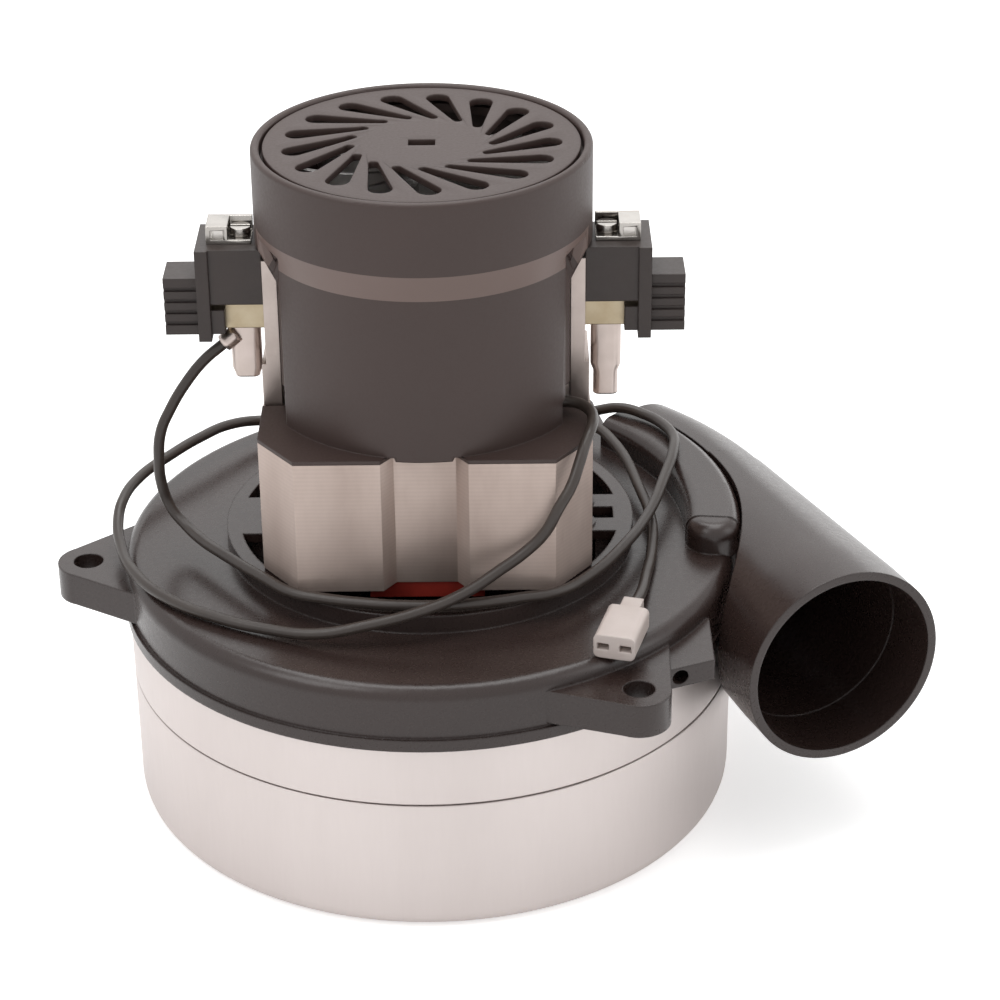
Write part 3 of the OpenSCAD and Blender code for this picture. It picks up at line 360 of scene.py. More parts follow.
NODE_SLOT = {part["node"]: part["material_slot"] for part in frame["record"]["subparts"]}
NODE_FINISH = {node: SLOT_FINISH[slot] for node, slot in NODE_SLOT.items()}


def settle(obj: Object, node: str, finish: Finish, *replaced: str) -> Object:
    """Give a piece its finish and body, and hide the nodes it stands for.

    Args:
        obj: the new piece, already in place.
        node: CAD node whose body it takes.
        finish: finish it wears.
        replaced: CAD nodes that it stands for.

    Returns:
        The same piece.
    """
    obj.data.materials.clear()
    obj.data.materials.append(finish.material())
    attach(obj, NODE_BODY[node])
    if replaced:
        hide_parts(*replaced)
    LOG.info("piece %s for %s", obj.name, ", ".join(replaced) or node)
    return obj


def linked(name: str, data: bpy.types.ID) -> Object:
    """Put data into a new object at the origin of the scene.

    Args:
        name: object name.
        data: mesh, curve, camera or lamp that it shows.

    Returns:
        The object.
    """
    obj = bpy.data.objects.new(name, data)
    bpy.context.scene.collection.objects.link(obj)
    return obj


def values_of(
    items: bpy.types.bpy_prop_collection, name: str, kind: type, width: int = 1
) -> Array:
    """Gather one attribute of all the items in an array.

    Args:
        items: vertices, corners or faces of a mesh.
        name: the attribute's name.
        kind: number type of the array.
        width: numbers that each item has.

    Returns:
        One number per item, or one row where an item has several.
    """
    values = np.empty(len(items) * width, kind)
    items.foreach_get(name, values)
    return values.reshape(-1, width) if width > 1 else values


def mesh_object(name: str, points: Array, faces: Array, sharp_deg: float = 40.0) -> Object:
    """Make a smooth-shaded mesh object at the origin from arrays.

    Args:
        name: object name.
        points: vertex places in millimetres, one row each.
        faces: vertex numbers of each face, one row each.
        sharp_deg: edges that bend more than this stay sharp.

    Returns:
        The object.
    """
    mesh = bpy.data.meshes.new(name)
    mesh.from_pydata((points * MM).tolist(), [], faces.tolist())
    mesh.validate()
    work = bmesh.new()
    work.from_mesh(mesh)
    bmesh.ops.remove_doubles(work, verts=work.verts, dist=NEW_WELD)
    bmesh.ops.recalc_face_normals(work, faces=work.faces)
    work.to_mesh(mesh)
    work.free()
    mesh.shade_smooth()
    mesh.set_sharp_from_angle(angle=math.radians(sharp_deg))
    return linked(name, mesh)


def unit(vectors: Array) -> Array:
    """Bring vectors to a length of 1.

    Args:
        vectors: one vector, or one per row.

    Returns:
        The same directions.
    """
    return vectors / np.linalg.norm(vectors, axis=-1, keepdims=True)


def polar(radius: Array | float, angle: Array) -> Array:
    """Points at a distance and an angle from the centre: (r cos a, r sin a).

    Args:
        radius: their distances.
        angle: their angles in radians.

    Returns:
        X and Y of each point.
    """
    return np.stack([radius * np.cos(angle), radius * np.sin(angle)], -1)


def turned(points: Array, angle: Array | float) -> Array:
    """Points turned about the centre: (x cos a - y sin a, x sin a + y cos a).

    Args:
        points: X and Y of each point.
        angle: turn in radians; an array gives one turned set for each.

    Returns:
        X and Y of each turned point.
    """
    x, y = points[..., 0], points[..., 1]
    c, s = np.cos(angle), np.sin(angle)
    return np.stack([x * c - y * s, x * s + y * c], -1)


def grid_faces(rows: int, columns: int, wrap_rows: bool, wrap_columns: bool) -> Array:
    """Quads of a grid of points numbered row by row, joined round where asked.

    Args:
        rows: number of rows.
        columns: points in a row.
        wrap_rows: last row joins the first.
        wrap_columns: last column joins the first.

    Returns:
        One row of four vertex numbers per quad.
    """
    row = np.arange(rows if wrap_rows else rows - 1)
    column = np.arange(columns if wrap_columns else columns - 1)
    i, j = (k.ravel() for k in np.meshgrid(row, column, indexing="ij"))
    below, beside = (i + 1) % rows, (j + 1) % columns
    i, below = i * columns, below * columns
    return np.stack([i + j, below + j, below + beside, i + beside], 1)


def rounded(corners: Array, radii: Array, steps: int) -> Array:
    """Closed outline with a quadratic curve (1-t)^2 a + 2t(1-t) p + t^2 b at each corner p.

    The curve's ends a and b lie on the two sides, radius away from the corner.

    Args:
        corners: outline's corners in order, one row each.
        radii: distance from each corner at which its curve starts.
        steps: points on each curve.

    Returns:
        Points of the rounded outline.
    """
    a = corners + unit(np.roll(corners, 1, 0) - corners) * radii[:, None]
    b = corners + unit(np.roll(corners, -1, 0) - corners) * radii[:, None]
    t = np.linspace(0, 1, steps)[None, :, None]
    curve = (1 - t) ** 2 * a[:, None] + 2 * t * (1 - t) * corners[:, None] + t**2 * b[:, None]
    return curve.reshape(-1, corners.shape[1])


def lathe(outline: Array, steps: int = 192) -> Shell:
    """Closed outline of radius and height carried round Z: x = r cos a, y = r sin a.

    Args:
        outline: radius and height of each point, anticlockwise with radius to the right.
        steps: stations round the circle.

    Returns:
        Points and quads.
    """
    a = np.linspace(0, 2 * np.pi, steps, endpoint=False)[:, None]
    height = np.broadcast_to(outline[:, 1], (steps, len(outline)))
    points = np.concatenate([polar(outline[:, 0], a), height[..., None]], -1)
    return points.reshape(-1, 3), grid_faces(steps, len(outline), True, True)


def tube(path: Array, radius: float, sides: int, up: Point) -> Shell:
    """Round section carried along a path: centre + radius (cos k side + sin k over).

    Args:
        path: points of the path.
        radius: radius of the section.
        sides: points round the section.
        up: direction that never runs along the path.

    Returns:
        Points and quads, without end caps.
    """
    ahead = unit(np.gradient(path, axis=0))
    side = unit(np.cross(ahead, up))
    over = np.cross(side, ahead)
    k = np.linspace(0, 2 * np.pi, sides, endpoint=False)[None, :, None]
    points = path[:, None] + radius * (np.cos(k) * side[:, None] + np.sin(k) * over[:, None])
    return points.reshape(-1, 3), grid_faces(len(path), sides, False, True)


def band(first: Array, second: Array, steps: int) -> Shell:
    """Flat sheet between two closed outlines: first + t (second - first).

    Args:
        first: points of one outline.
        second: points of the other, in matching order.
        steps: rows of points from one to the other.

    Returns:
        Points and quads.
    """
    t = np.linspace(0, 1, steps)[:, None, None]
    points = (first + t * (second - first)).reshape(-1, 2)
    return points, grid_faces(steps, len(first), False, True)


def box_shell(centre: Array, axes: Array, half: Point) -> Shell:
    """Box with given axes: centre plus or minus half a size along each axis.

    Args:
        centre: middle of the box.
        axes: its three unit directions, one row each.
        half: half its size along each of them.

    Returns:
        Eight points and six quads.
    """
    signs = np.array([[x, y, z] for x in (-1, 1) for y in (-1, 1) for z in (-1, 1)], float)
    faces = [
        [0, 1, 3, 2], [4, 6, 7, 5], [0, 4, 5, 1], [2, 3, 7, 6], [0, 2, 6, 4], [1, 5, 7, 3],
    ]
    return centre + (signs * half) @ axes, np.array(faces)


def joined(parts: list[Shell]) -> Shell:
    """Put several point and face lists into one.

    Args:
        parts: points and quads of each shell.

    Returns:
        All points, and all quads renumbered.
    """
    starts = np.cumsum([0] + [len(points) for points, _ in parts[:-1]])
    faces = [quads + start for (_, quads), start in zip(parts, starts)]
    return np.concatenate([points for points, _ in parts]), np.concatenate(faces)


def weigh_normals(mesh: bpy.types.Mesh, edge_deg: float) -> None:
    """Give each face corner the area-weighted mean normal of the faces round its vertex.

    Corners are sorted by vertex, each is paired with all corners of its vertex, and the pairs
    whose faces bend little from each other are summed.

    Args:
        mesh: mesh that takes the normals.
        edge_deg: faces that bend more than this from the corner's own face are left out.
    """
    vertex = values_of(mesh.loops, "vertex_index", np.int32)
    sizes = values_of(mesh.polygons, "loop_total", np.int32)
    area = values_of(mesh.polygons, "area", np.float32)
    normal = values_of(mesh.polygons, "normal", np.float32, 3)
    face = np.repeat(np.arange(len(sizes)), sizes)
    order = np.argsort(vertex, kind="stable")
    ranked = vertex[order]
    first = np.searchsorted(ranked, ranked, "left")
    reach = np.searchsorted(ranked, ranked, "right") - first
    own = np.repeat(np.arange(len(vertex)), reach)
    step = np.arange(len(own)) - np.repeat(np.cumsum(reach) - reach, reach)
    corner = order[own]
    mine, theirs = face[corner], face[order[first[own] + step]]
    bend = np.einsum("ij,ij->i", normal[mine], normal[theirs])
    near = bend > math.cos(math.radians(edge_deg))
    total = np.zeros((len(vertex), 3))
    np.add.at(total, corner[near], area[theirs[near], None] * normal[theirs[near]])
    length = np.linalg.norm(total, axis=1, keepdims=True)
    total = np.where(length > 0, total / np.maximum(length, 1e-30), normal[face])
    mesh.normals_split_custom_set(total.tolist())


def ease(obj: Object, width_mm: float, segments: int, edge_deg: float) -> bpy.types.BevelModifier:
    """Round an object's edges.

    Args:
        obj: object that takes the bevel.
        width_mm: width of the rounded edge.
        segments: faces across it.
        edge_deg: edges that bend more than this are rounded.

    Returns:
        The bevel.
    """
    bevel = obj.modifiers.new("eased_edges", "BEVEL")
    bevel.width, bevel.segments = width_mm * MM, segments
    bevel.limit_method, bevel.angle_limit = "ANGLE", math.radians(edge_deg)
    return bevel


def thicken(obj: Object, sheet_mm: float, offset: float) -> None:
    """Give a surface the thickness of its sheet.

    Args:
        obj: object that takes the thickness.
        sheet_mm: the thickness.
        offset: -1 puts it all behind the surface, 0 half on each side.
    """
    skin = obj.modifiers.new("sheet", "SOLIDIFY")
    skin.thickness, skin.offset = sheet_mm * MM, offset


def eased_copy(
    node: str,
    ease_mm: float,
    segments: int = 2,
    edge_deg: float = 32.0,
    reshape: Callable[[Array], Array] | None = None,
) -> Object:
    """Copy a CAD node's mesh, merge it, smooth it and, where asked, round its edges.

    Args:
        node: CAD node to copy.
        ease_mm: width of the rounded edge; none leaves the edges to the finish.
        segments: faces across the rounded edge.
        edge_deg: edges that bend more than this are rounded.
        reshape: gives new vertex places in millimetres for the old ones.

    Returns:
        The copy, at the origin.
    """
    mesh = frame["nodes"][node].data.copy()
    mesh.name = node + "_eased"
    work = bmesh.new()
    work.from_mesh(mesh)
    bmesh.ops.remove_doubles(work, verts=work.verts, dist=COPY_WELD)
    if ease_mm:
        flat = math.radians(FLAT_DEG)
        bmesh.ops.dissolve_limit(work, angle_limit=flat, verts=work.verts, edges=work.edges)
    work.to_mesh(mesh)
    work.free()
    if reshape:
        places = reshape(values_of(mesh.vertices, "co", np.float32, 3) / MM) * MM
        mesh.vertices.foreach_set("co", places.astype(np.float32).ravel())
        mesh.update()
    mesh.shade_smooth()
    obj = linked(node + "_eased", mesh)
    if not ease_mm:
        weigh_normals(mesh, edge_deg)
        return obj
    mesh.set_sharp_from_angle(angle=math.radians(edge_deg))
    bevel = ease(obj, ease_mm, segments, edge_deg)
    bevel.miter_outer = "MITER_ARC"
    bevel.harden_normals = True
    return obj


@dataclass(frozen=True)
class Lamp:
    """One rectangular soft lamp, hung so that it faces its aim."""

    name: str
    at_mm: Point
    size_mm: Pair
    watts: float
    aim_mm: Point = (0, 0, 60)

    def hang(self) -> None:
        """Put the lamp into the scene."""
        data = bpy.data.lights.new(self.name, "AREA")
        data.shape, data.energy = "RECTANGLE", self.watts
        data.size, data.size_y = self.size_mm[0] * MM, self.size_mm[1] * MM
        lamp = linked(self.name, data)
        lamp.location = Vector(self.at_mm) * MM
        lamp.rotation_mode = "QUATERNION"
        aim = Vector(self.aim_mm) - Vector(self.at_mm)
        lamp.rotation_quaternion = aim.to_track_quat("-Z", "Y")


LAMPS = (
    # Front left, shapes the case and the stack
    Lamp("key", (-520, -380, 900), (500, 500), 2.1),
    # Front right, opens the horn's side
    Lamp("fill", (800, -200, 600), (500, 500), 1.0),
    # Overhead, lights the deck and the grille
    Lamp("top", (0, 250, 1100), (800, 800), 7.0),
    # Behind, draws the sheen on the black mouldings
    Lamp("back", (-100, 1100, 760), (1200, 500), 1.3),
    # Low behind the horn, picks out its edge
    Lamp("card", (470, 740, 170), (500, 300), 0.5, (40, 0, 30)),
)


@dataclass
class Studio:
    """Camera at the photograph's place, soft lamps, pale floor and white surround.

    The floor glows a little for camera rays (glow) and for reflections (shine), and the surround
    lights the object at only part (light) of the strength that it shows.
    """

    place_mm: Point = (16.6, -584.0, 383.2)
    down_deg: float = 28.13
    roll_deg: float = -0.55
    lens_mm: float = 100.8
    sensor_mm: float = 36.0
    clip_m: Pair = (0.01, 50.0)
    floor_mm: float = 6000.0
    floor_colour: str = "#fbfbfb"
    floor_roughness: float = 0.9
    glow: float = 0.45
    shine: float = 0.22
    light: float = 0.55

    def camera(self) -> None:
        """Stand the camera so that it looks along +Y and down."""
        tilt, roll = math.radians(self.down_deg), math.radians(self.roll_deg)
        right, up = Vector((1, 0, 0)), Vector((0, math.sin(tilt), math.cos(tilt)))
        ahead = Vector((0, math.cos(tilt), -math.sin(tilt)))
        across = math.cos(roll) * right + math.sin(roll) * up
        above = math.cos(roll) * up - math.sin(roll) * right
        data = bpy.data.cameras.new("camera")
        data.lens, data.sensor_width = self.lens_mm, self.sensor_mm
        data.clip_start, data.clip_end = self.clip_m
        turn = Matrix((across, above, -ahead)).transposed()
        camera = linked("camera", data)
        camera.matrix_world = Matrix.Translation(Vector(self.place_mm) * MM) @ turn.to_4x4()
        bpy.context.scene.camera = camera

    def surround(self) -> None:
        """White surround for the camera and for reflections, dimmer as a light."""
        world = bpy.data.worlds.new("white_surround")
        world.use_nodes = True
        tree = world.node_tree
        tree.nodes.clear()
        path = add(tree, "ShaderNodeLightPath").outputs
        shown = path["Is Camera Ray"]
        for name in ("Is Glossy Ray", "Is Transmission Ray"):
            either = {0: shown, 1: path[name]}
            shown = add(tree, "ShaderNodeMath", either, operation="MAXIMUM").outputs[0]
        white = {"Color": (1, 1, 1, 1), "Strength": ramp(tree, shown, self.light, 1.0)}
        back = add(tree, "ShaderNodeBackground", white)
        add(tree, "ShaderNodeOutputWorld", {"Surface": back.outputs[0]})
        bpy.context.scene.world = world

    def floor(self) -> None:
        """Pale floor at the case's foot, lifted to white so that only the shadow shows."""
        h = self.floor_mm / 2
        points = np.array([[-h, -h, 0], [h, -h, 0], [h, h, 0], [-h, h, 0]])
        floor = mesh_object("floor", points, np.array([[0, 1, 2, 3]]))
        made = bpy.data.materials.new("pale_floor")
        made.use_nodes = True
        tree = made.node_tree
        tree.nodes.clear()
        path = add(tree, "ShaderNodeLightPath").outputs
        mirrored = {0: path["Is Glossy Ray"], 1: self.shine}
        shine = add(tree, "ShaderNodeMath", mirrored, operation="MULTIPLY").outputs[0]
        seen = {0: path["Is Camera Ray"], 1: self.glow, 2: shine}
        glow = add(tree, "ShaderNodeMath", seen, operation="MULTIPLY_ADD").outputs[0]
        shader = add(
            tree,
            "ShaderNodeBsdfPrincipled",
            {
                "Base Color": linear(self.floor_colour),
                "Roughness": self.floor_roughness,
                "Emission Color": (1, 1, 1, 1),
                "Emission Strength": glow,
            },
        )
        add(tree, "ShaderNodeOutputMaterial", {"Surface": shader.outputs[0]})
        floor.data.materials.append(made)

    def build(self) -> None:
        """Set up view, camera, surround, floor and lamps."""
        bpy.context.scene.view_settings.view_transform = "Standard"
        self.camera()
        self.surround()
        self.floor()
        for lamp in LAMPS:
            lamp.hang()


@dataclass
class Lead:
    """One insulated lead along its route, with the connector on its end."""

    node: str
    connector: str
    length_mm: float
    route: list[Point]
    diameter: float = 2.6
    section_steps: int = 4
    knot_steps: int = 8
    crimp_l: float = 4.0
    connector_l: float = 19.0
    connector_ease: float = 0.5
    contact_side: float = 2.5
    contact_half: Point = (3.0, 1.15, 0.6)
    contact_deep: float = 0.9

    def crimp(self) -> Array:
        """Straight line on which a terminal grips the lead's start.

        Returns:
            Its two ends, the second at the route's start.
        """
        start, after = np.array(self.route[:2], float)
        return np.stack([start - self.crimp_l * unit(after - start), start])

    def contacts(self) -> Object:
        """Two dark contacts set back in the connector's mouth.

        Returns:
            The mesh object of both.
        """
        before, end = np.array(self.route[-2:], float)
        along = unit(end - before)
        side = unit(np.cross((0, 0, 1), along))
        axes = np.stack([along, side, np.cross(along, side)])
        reach = self.connector_l - self.contact_deep - self.contact_half[0]
        middles = [end + along * reach + k * self.contact_side * side for k in (-1, 1)]
        shells = [box_shell(middle, axes, self.contact_half) for middle in middles]
        return mesh_object(self.connector + "_contacts", *joined(shells))

    def curve(self) -> Object:
        """Lay a smooth round curve through the route's points.

        Returns:
            The curve object.
        """
        data = bpy.data.curves.new(self.node + "_run", "CURVE")
        data.dimensions = "3D"
        data.bevel_depth = self.diameter / 2 * MM
        data.bevel_resolution = self.section_steps
        data.resolution_u = self.knot_steps
        data.use_fill_caps = True
        spline = data.splines.new("BEZIER")
        spline.bezier_points.add(len(self.route) - 1)
        spline.bezier_points.foreach_set("co", (np.array(self.route, float) * MM).ravel())
        for knot in spline.bezier_points:
            knot.handle_left_type = knot.handle_right_type = "AUTO"
        return linked(self.node + "_run", data)

    def build(self) -> None:
        """Lay the lead and round its connector's edges."""
        run = settle(self.curve(), self.node, LEAD_VINYL, self.node)
        copy = eased_copy(self.connector, self.connector_ease, segments=3)
        housing = settle(copy, self.connector, CONNECTOR_NYLON, self.connector)
        contacts = settle(self.contacts(), self.connector, CONTACT_BRASS)


BRUSH_LEAD = Lead(
    "brush_lead",
    "brush_lead_connector",
    291.0,
    [
        (-46.2, -1, 113), (-51, -1.6, 109), (-55.2, -2.4, 104), (-59.3, -3.4, 97.5),
        (-61.8, -4.4, 92), (-62.6, -5, 85), (-62.4, -5, 79), (-60.6, -5.4, 73), (-57, -8.4, 69.7),
        (-52.8, -14, 68.7), (-47.8, -20.4, 68.8), (-37, -33, 69.1), (-30.5, -39.4, 69.1),
        (-22.4, -42.6, 69.1), (-14, -44.6, 69.1), (-6, -45.8, 69.1), (6, -45.8, 69.1),
        (14, -44.6, 69.1), (21.4, -42.8, 69.1), (29.2, -40.6, 69.1), (36.4, -33.6, 69.1),
        (44.6, -20.5, 69.3), (52, -2.7, 69.3), (56, 11, 70.8), (59, 24, 71.8), (59.4, 31, 71.8),
        (57.5, 37, 71.8), (53, 43, 71.8), (47, 47, 71.8), (39.5, 49.5, 69.6), (31, 52, 67.6),
        (22, 54.5, 66), (14, 55, 66),
    ],
)
FIELD_LEAD = Lead(
    "field_lead",
    "field_lead_connector",
    427.0,
    [
        (18.3, -24, 103.6), (20, -23.1, 103.7), (22.3, -20.4, 103.9), (25.4, -17, 104),
        (29.4, -14.9, 104), (33.6, -15.2, 104), (36.6, -18, 103.8), (37.6, -22.4, 103.6),
        (36.9, -27.5, 103.3), (35.6, -31.5, 101.8), (34.2, -35, 98.8), (32.4, -38.2, 94.8),
        (29.6, -40.2, 90.4), (26.5, -40.6, 84.4), (22, -41.4, 79.9), (16.5, -43.4, 76.6),
        (8.6, -46.9, 72.8), (-1.5, -51, 70.4), (-12.6, -52.7, 68.2), (-24, -52.5, 66),
        (-35.5, -48.4, 64.9), (-47.2, -42.6, 64.6), (-59.2, -33.7, 64.6), (-67.7, -22.2, 64.6),
        (-72.5, -9, 64.8), (-74, 0, 66.6), (-73.5, 6, 68.6), (-70.5, 16, 69.6), (-64, 27, 70),
        (-57.5, 36, 70.2), (-51, 44, 69.6), (-43, 49.5, 68), (-32, 48.5, 68), (-20, 45, 69.1),
        (-4, 44.5, 69.1), (14, 44.5, 69.1), (29, 44, 69.5), (39.5, 41, 69.9), (44.6, 33, 69.5),
        (50.5, 11, 67.2), (52.4, -2.2, 66), (51.8, -14.6, 64.9), (50, -25.6, 64.8),
        (48.4, -34.6, 65.4), (46.4, -41.6, 66),
    ],
)


@dataclass
class EasedNode:
    """A CAD node shown as a merged copy with rounded edges."""

    node: str
    ease_mm: float
    segments: int = 2

    def build(self) -> None:
        """Copy the node, round it and give it its finish."""
        copy = eased_copy(self.node, self.ease_mm, self.segments)
        settle(copy, self.node, NODE_FINISH[self.node], self.node)


EASED = [
    EasedNode("fan_end_bracket", 0),
    EasedNode("discharge_horn", 0),
    EasedNode("stator_core", 0.25),
    EasedNode("end_bracket", 0.3),
    EasedNode("cooling_fan", 0),
    EasedNode("brush_holder_left", 0.6, 3),
    EasedNode("brush_holder_right", 0.6, 3),
    EasedNode("brush_cap_left", 0.35, 3),
    EasedNode("brush_cap_right", 0.35, 3),
    EasedNode("holder_clip_left", 0.3),
    EasedNode("holder_clip_right", 0.3),
    EasedNode("brush_tube_left", 0.2),
    EasedNode("brush_tube_right", 0.2),
    EasedNode("clip_screws", 0.3),
    EasedNode("through_screws", 0.4),
]


@dataclass
class VentCover:
    """Dark cover, its body brought out to the photograph's radius and cut flat beside the arms.

    The old_ values are the CAD node's own; slacks are how far off a surface its points may lie.
    """

    node: str = "vent_cover"
    slot_half: float = 9.4
    old_r: float = 34.0
    old_band: Pair = (131.4, 139.8)
    old_flange: float = 101.8
    wall: float = 2.0
    wall_slack: float = 0.15
    band_slack: float = 0.1
    flange_slack: float = 0.05
    body_r: float = 36.7
    flat_x: float = 31.5
    band: Pair = (138.7, 144.8)
    flange: float = 100.9
    crown_r: float = 38.0
    held_low: Pair = (0.0, 110.0)
    held_high: Pair = (150.0, 200.0)
    edge_deg: float = 9.0

    def reshape(self, points: Array) -> Array:
        """Move the wall out and its flare up, away from the arms' slots.

        The wall goes out by what the body gains, fading to nothing up the flare; X is then held
        within the flats, heights are stretched so that the flare's two edges come to the new
        band, and the flange is thinned.

        Args:
            points: the copy's vertex places.

        Returns:
            The new places.
        """
        x, y, z = points.T
        r = np.hypot(x, y)
        low, high = self.old_band
        share = np.clip((z - low) / (high - low), 0, 1)
        inside = self.old_r + share * (self.crown_r - self.old_r) - r
        on_wall = (inside > -self.wall_slack) & (inside < self.wall + self.wall_slack)
        moved = on_wall & (z < high + self.band_slack) & (np.abs(y) > self.slot_half)
        grown = 1 + (self.body_r - self.old_r) * (1 - share) / np.maximum(r, 1)
        limit = np.where(share > 0.5, np.inf, self.flat_x - inside)
        new_x = np.sign(x) * np.minimum(np.abs(x) * grown, limit)
        old_z = [*self.held_low, *self.old_band, *self.held_high]
        new_z = np.interp(z, old_z, [*self.held_low, *self.band, *self.held_high])
        placed = np.where(moved[:, None], np.stack([new_x, y * grown, new_z], 1), points)
        placed[np.abs(z - self.old_flange) < self.flange_slack, 2] = self.flange
        return placed

    def build(self) -> None:
        """Copy the node in its new shape, the flare's outer faces painted paler to stand for
        reflected table light.
        """
        copy = eased_copy(self.node, 0, edge_deg=self.edge_deg, reshape=self.reshape)
        settle(copy, self.node, COVER_MOULDING, self.node)
        copy.data.materials.append(FLARE_PAINTED_TABLE_LIGHT.material())
        x, y, z = values_of(copy.data.polygons, "center", np.float32, 3).T / MM
        facing = values_of(copy.data.polygons, "normal", np.float32, 3)
        outward = x * facing[:, 0] + y * facing[:, 1] > 0
        on_band = (z > self.band[0]) & (z < self.band[1]) & (np.abs(y) > self.slot_half)
        # Outer flare faces take the second material: painted light, paler for the table's light
        # reflected up onto them
        copy.data.polygons.foreach_set("material_index", (outward & on_band).astype(np.int32))


@dataclass
class VentGrille:
    """Grille plate with straight slots that widen outward and lean round the hub."""

    node: str = "vent_grille"
    slots: int = 17
    plate_r: float = 35.3
    hub_r: float = 13.2
    ring_r: float = 32.6
    slot_r: Pair = (14.9, 31.2)
    slot_w: Pair = (2.2, 5.4)
    lean_deg: float = 23.0
    phase_deg: float = -1.0
    key: Pair = (3.0, 1.8)
    low: float = 159.3
    top: float = 161.0
    ends: int = 9
    sides: int = 14
    hub_steps: int = 5
    rim_steps: int = 3
    ease_mm: float = 0.3
    edge_deg: float = 50.0

    def cell(self) -> Array:
        """Outline of one slot, and the outline of the sector that tiles the ring round it.

        The slot is the hull of two circles on its leaning axis. The sector's sides are that axis
        turned half a pitch each way, joined by arcs on the hub's and the ring's circles.

        Returns:
            Both outlines, with the same number of points in matching order.
        """
        half = np.pi / self.slots
        radii = np.array(self.slot_w) / 2
        ends_r = np.array([self.slot_r[0] + radii[0], self.slot_r[1] - radii[1]])
        turn = np.radians([-self.lean_deg, 0.0]) + np.radians(self.phase_deg)
        foot, head = polar(ends_r, turn)
        along = unit(head - foot)
        across = np.array([-along[1], along[0]])
        k = np.linspace(0, np.pi, self.ends)[:, None]
        t = np.linspace(0, 1, self.sides + 2)[1:-1, None]
        inner = foot + radii[0] * (np.cos(k) * across - np.sin(k) * along)
        outer = head + radii[1] * (np.sin(k) * along - np.cos(k) * across)
        up_side = inner[-1] + t * (outer[0] - inner[-1])
        down_side = outer[-1] + t * (inner[0] - outer[-1])
        cast = foot @ along
        circles = np.array([self.hub_r, self.ring_r])
        near, far = np.sqrt(cast**2 - foot @ foot + circles**2) - cast
        axis = foot + (near + t * (far - near)) * along
        hub_a, ring_a = (np.arctan2(*(foot + d * along)[::-1]) for d in (near, far))
        sweep = np.linspace(-half, half, self.ends)
        hub, ring = polar(self.hub_r, hub_a - sweep), polar(self.ring_r, ring_a + sweep)
        slot = np.concatenate([inner, up_side, outer, down_side])
        sector = np.concatenate([hub, turned(axis, -half), ring, turned(axis[::-1], half)])
        return np.stack([slot, sector])

    def circle(self, cells: Array, start: int) -> Array:
        """Take one arc's points from every sector, in order round the plate.

        Args:
            cells: slot and sector outlines of every cell.
            start: place of the arc's first point in a sector.

        Returns:
            Points of the whole circle.
        """
        picked = cells[:, 1, start : start + self.ends - 1].reshape(-1, 2)
        return picked[np.argsort(np.arctan2(picked[:, 1], picked[:, 0]))]

    def build(self) -> None:
        """Repeat the cell round the plate, fill hub and ring, and thicken the sheet downward.

        The hub has a rectangular hole: its circle drawn in along each radius to the rectangle.
        """
        number = np.arange(self.slots)[:, None, None]
        cells = turned(self.cell(), 2 * np.pi / self.slots * number)
        count = cells.shape[2]
        quads = (grid_faces(2, count, False, True) + 2 * count * number).reshape(-1, 4)
        hub, rim = self.circle(cells, 0), self.circle(cells, self.ends + self.sides)
        away = np.maximum(np.abs(unit(hub)), 1e-9)
        keyhole = unit(hub) * np.min(np.array(self.key) / away, axis=1, keepdims=True)
        hub_fill = band(keyhole, hub, self.hub_steps)
        rim_fill = band(rim, self.plate_r * unit(rim), self.rim_steps)
        flat, quads = joined([(cells.reshape(-1, 2), quads), hub_fill, rim_fill])
        points = np.column_stack([flat, np.full(len(flat), self.top)])
        obj = mesh_object(self.node + "_moulded", points, quads)
        if obj.data.polygons[0].normal.z < 0:
            obj.data.flip_normals()
        thicken(obj, self.top - self.low, offset=-1.0)
        ease(obj, self.ease_mm, segments=2, edge_deg=self.edge_deg)
        settle(obj, self.node, COVER_MOULDING, self.node)


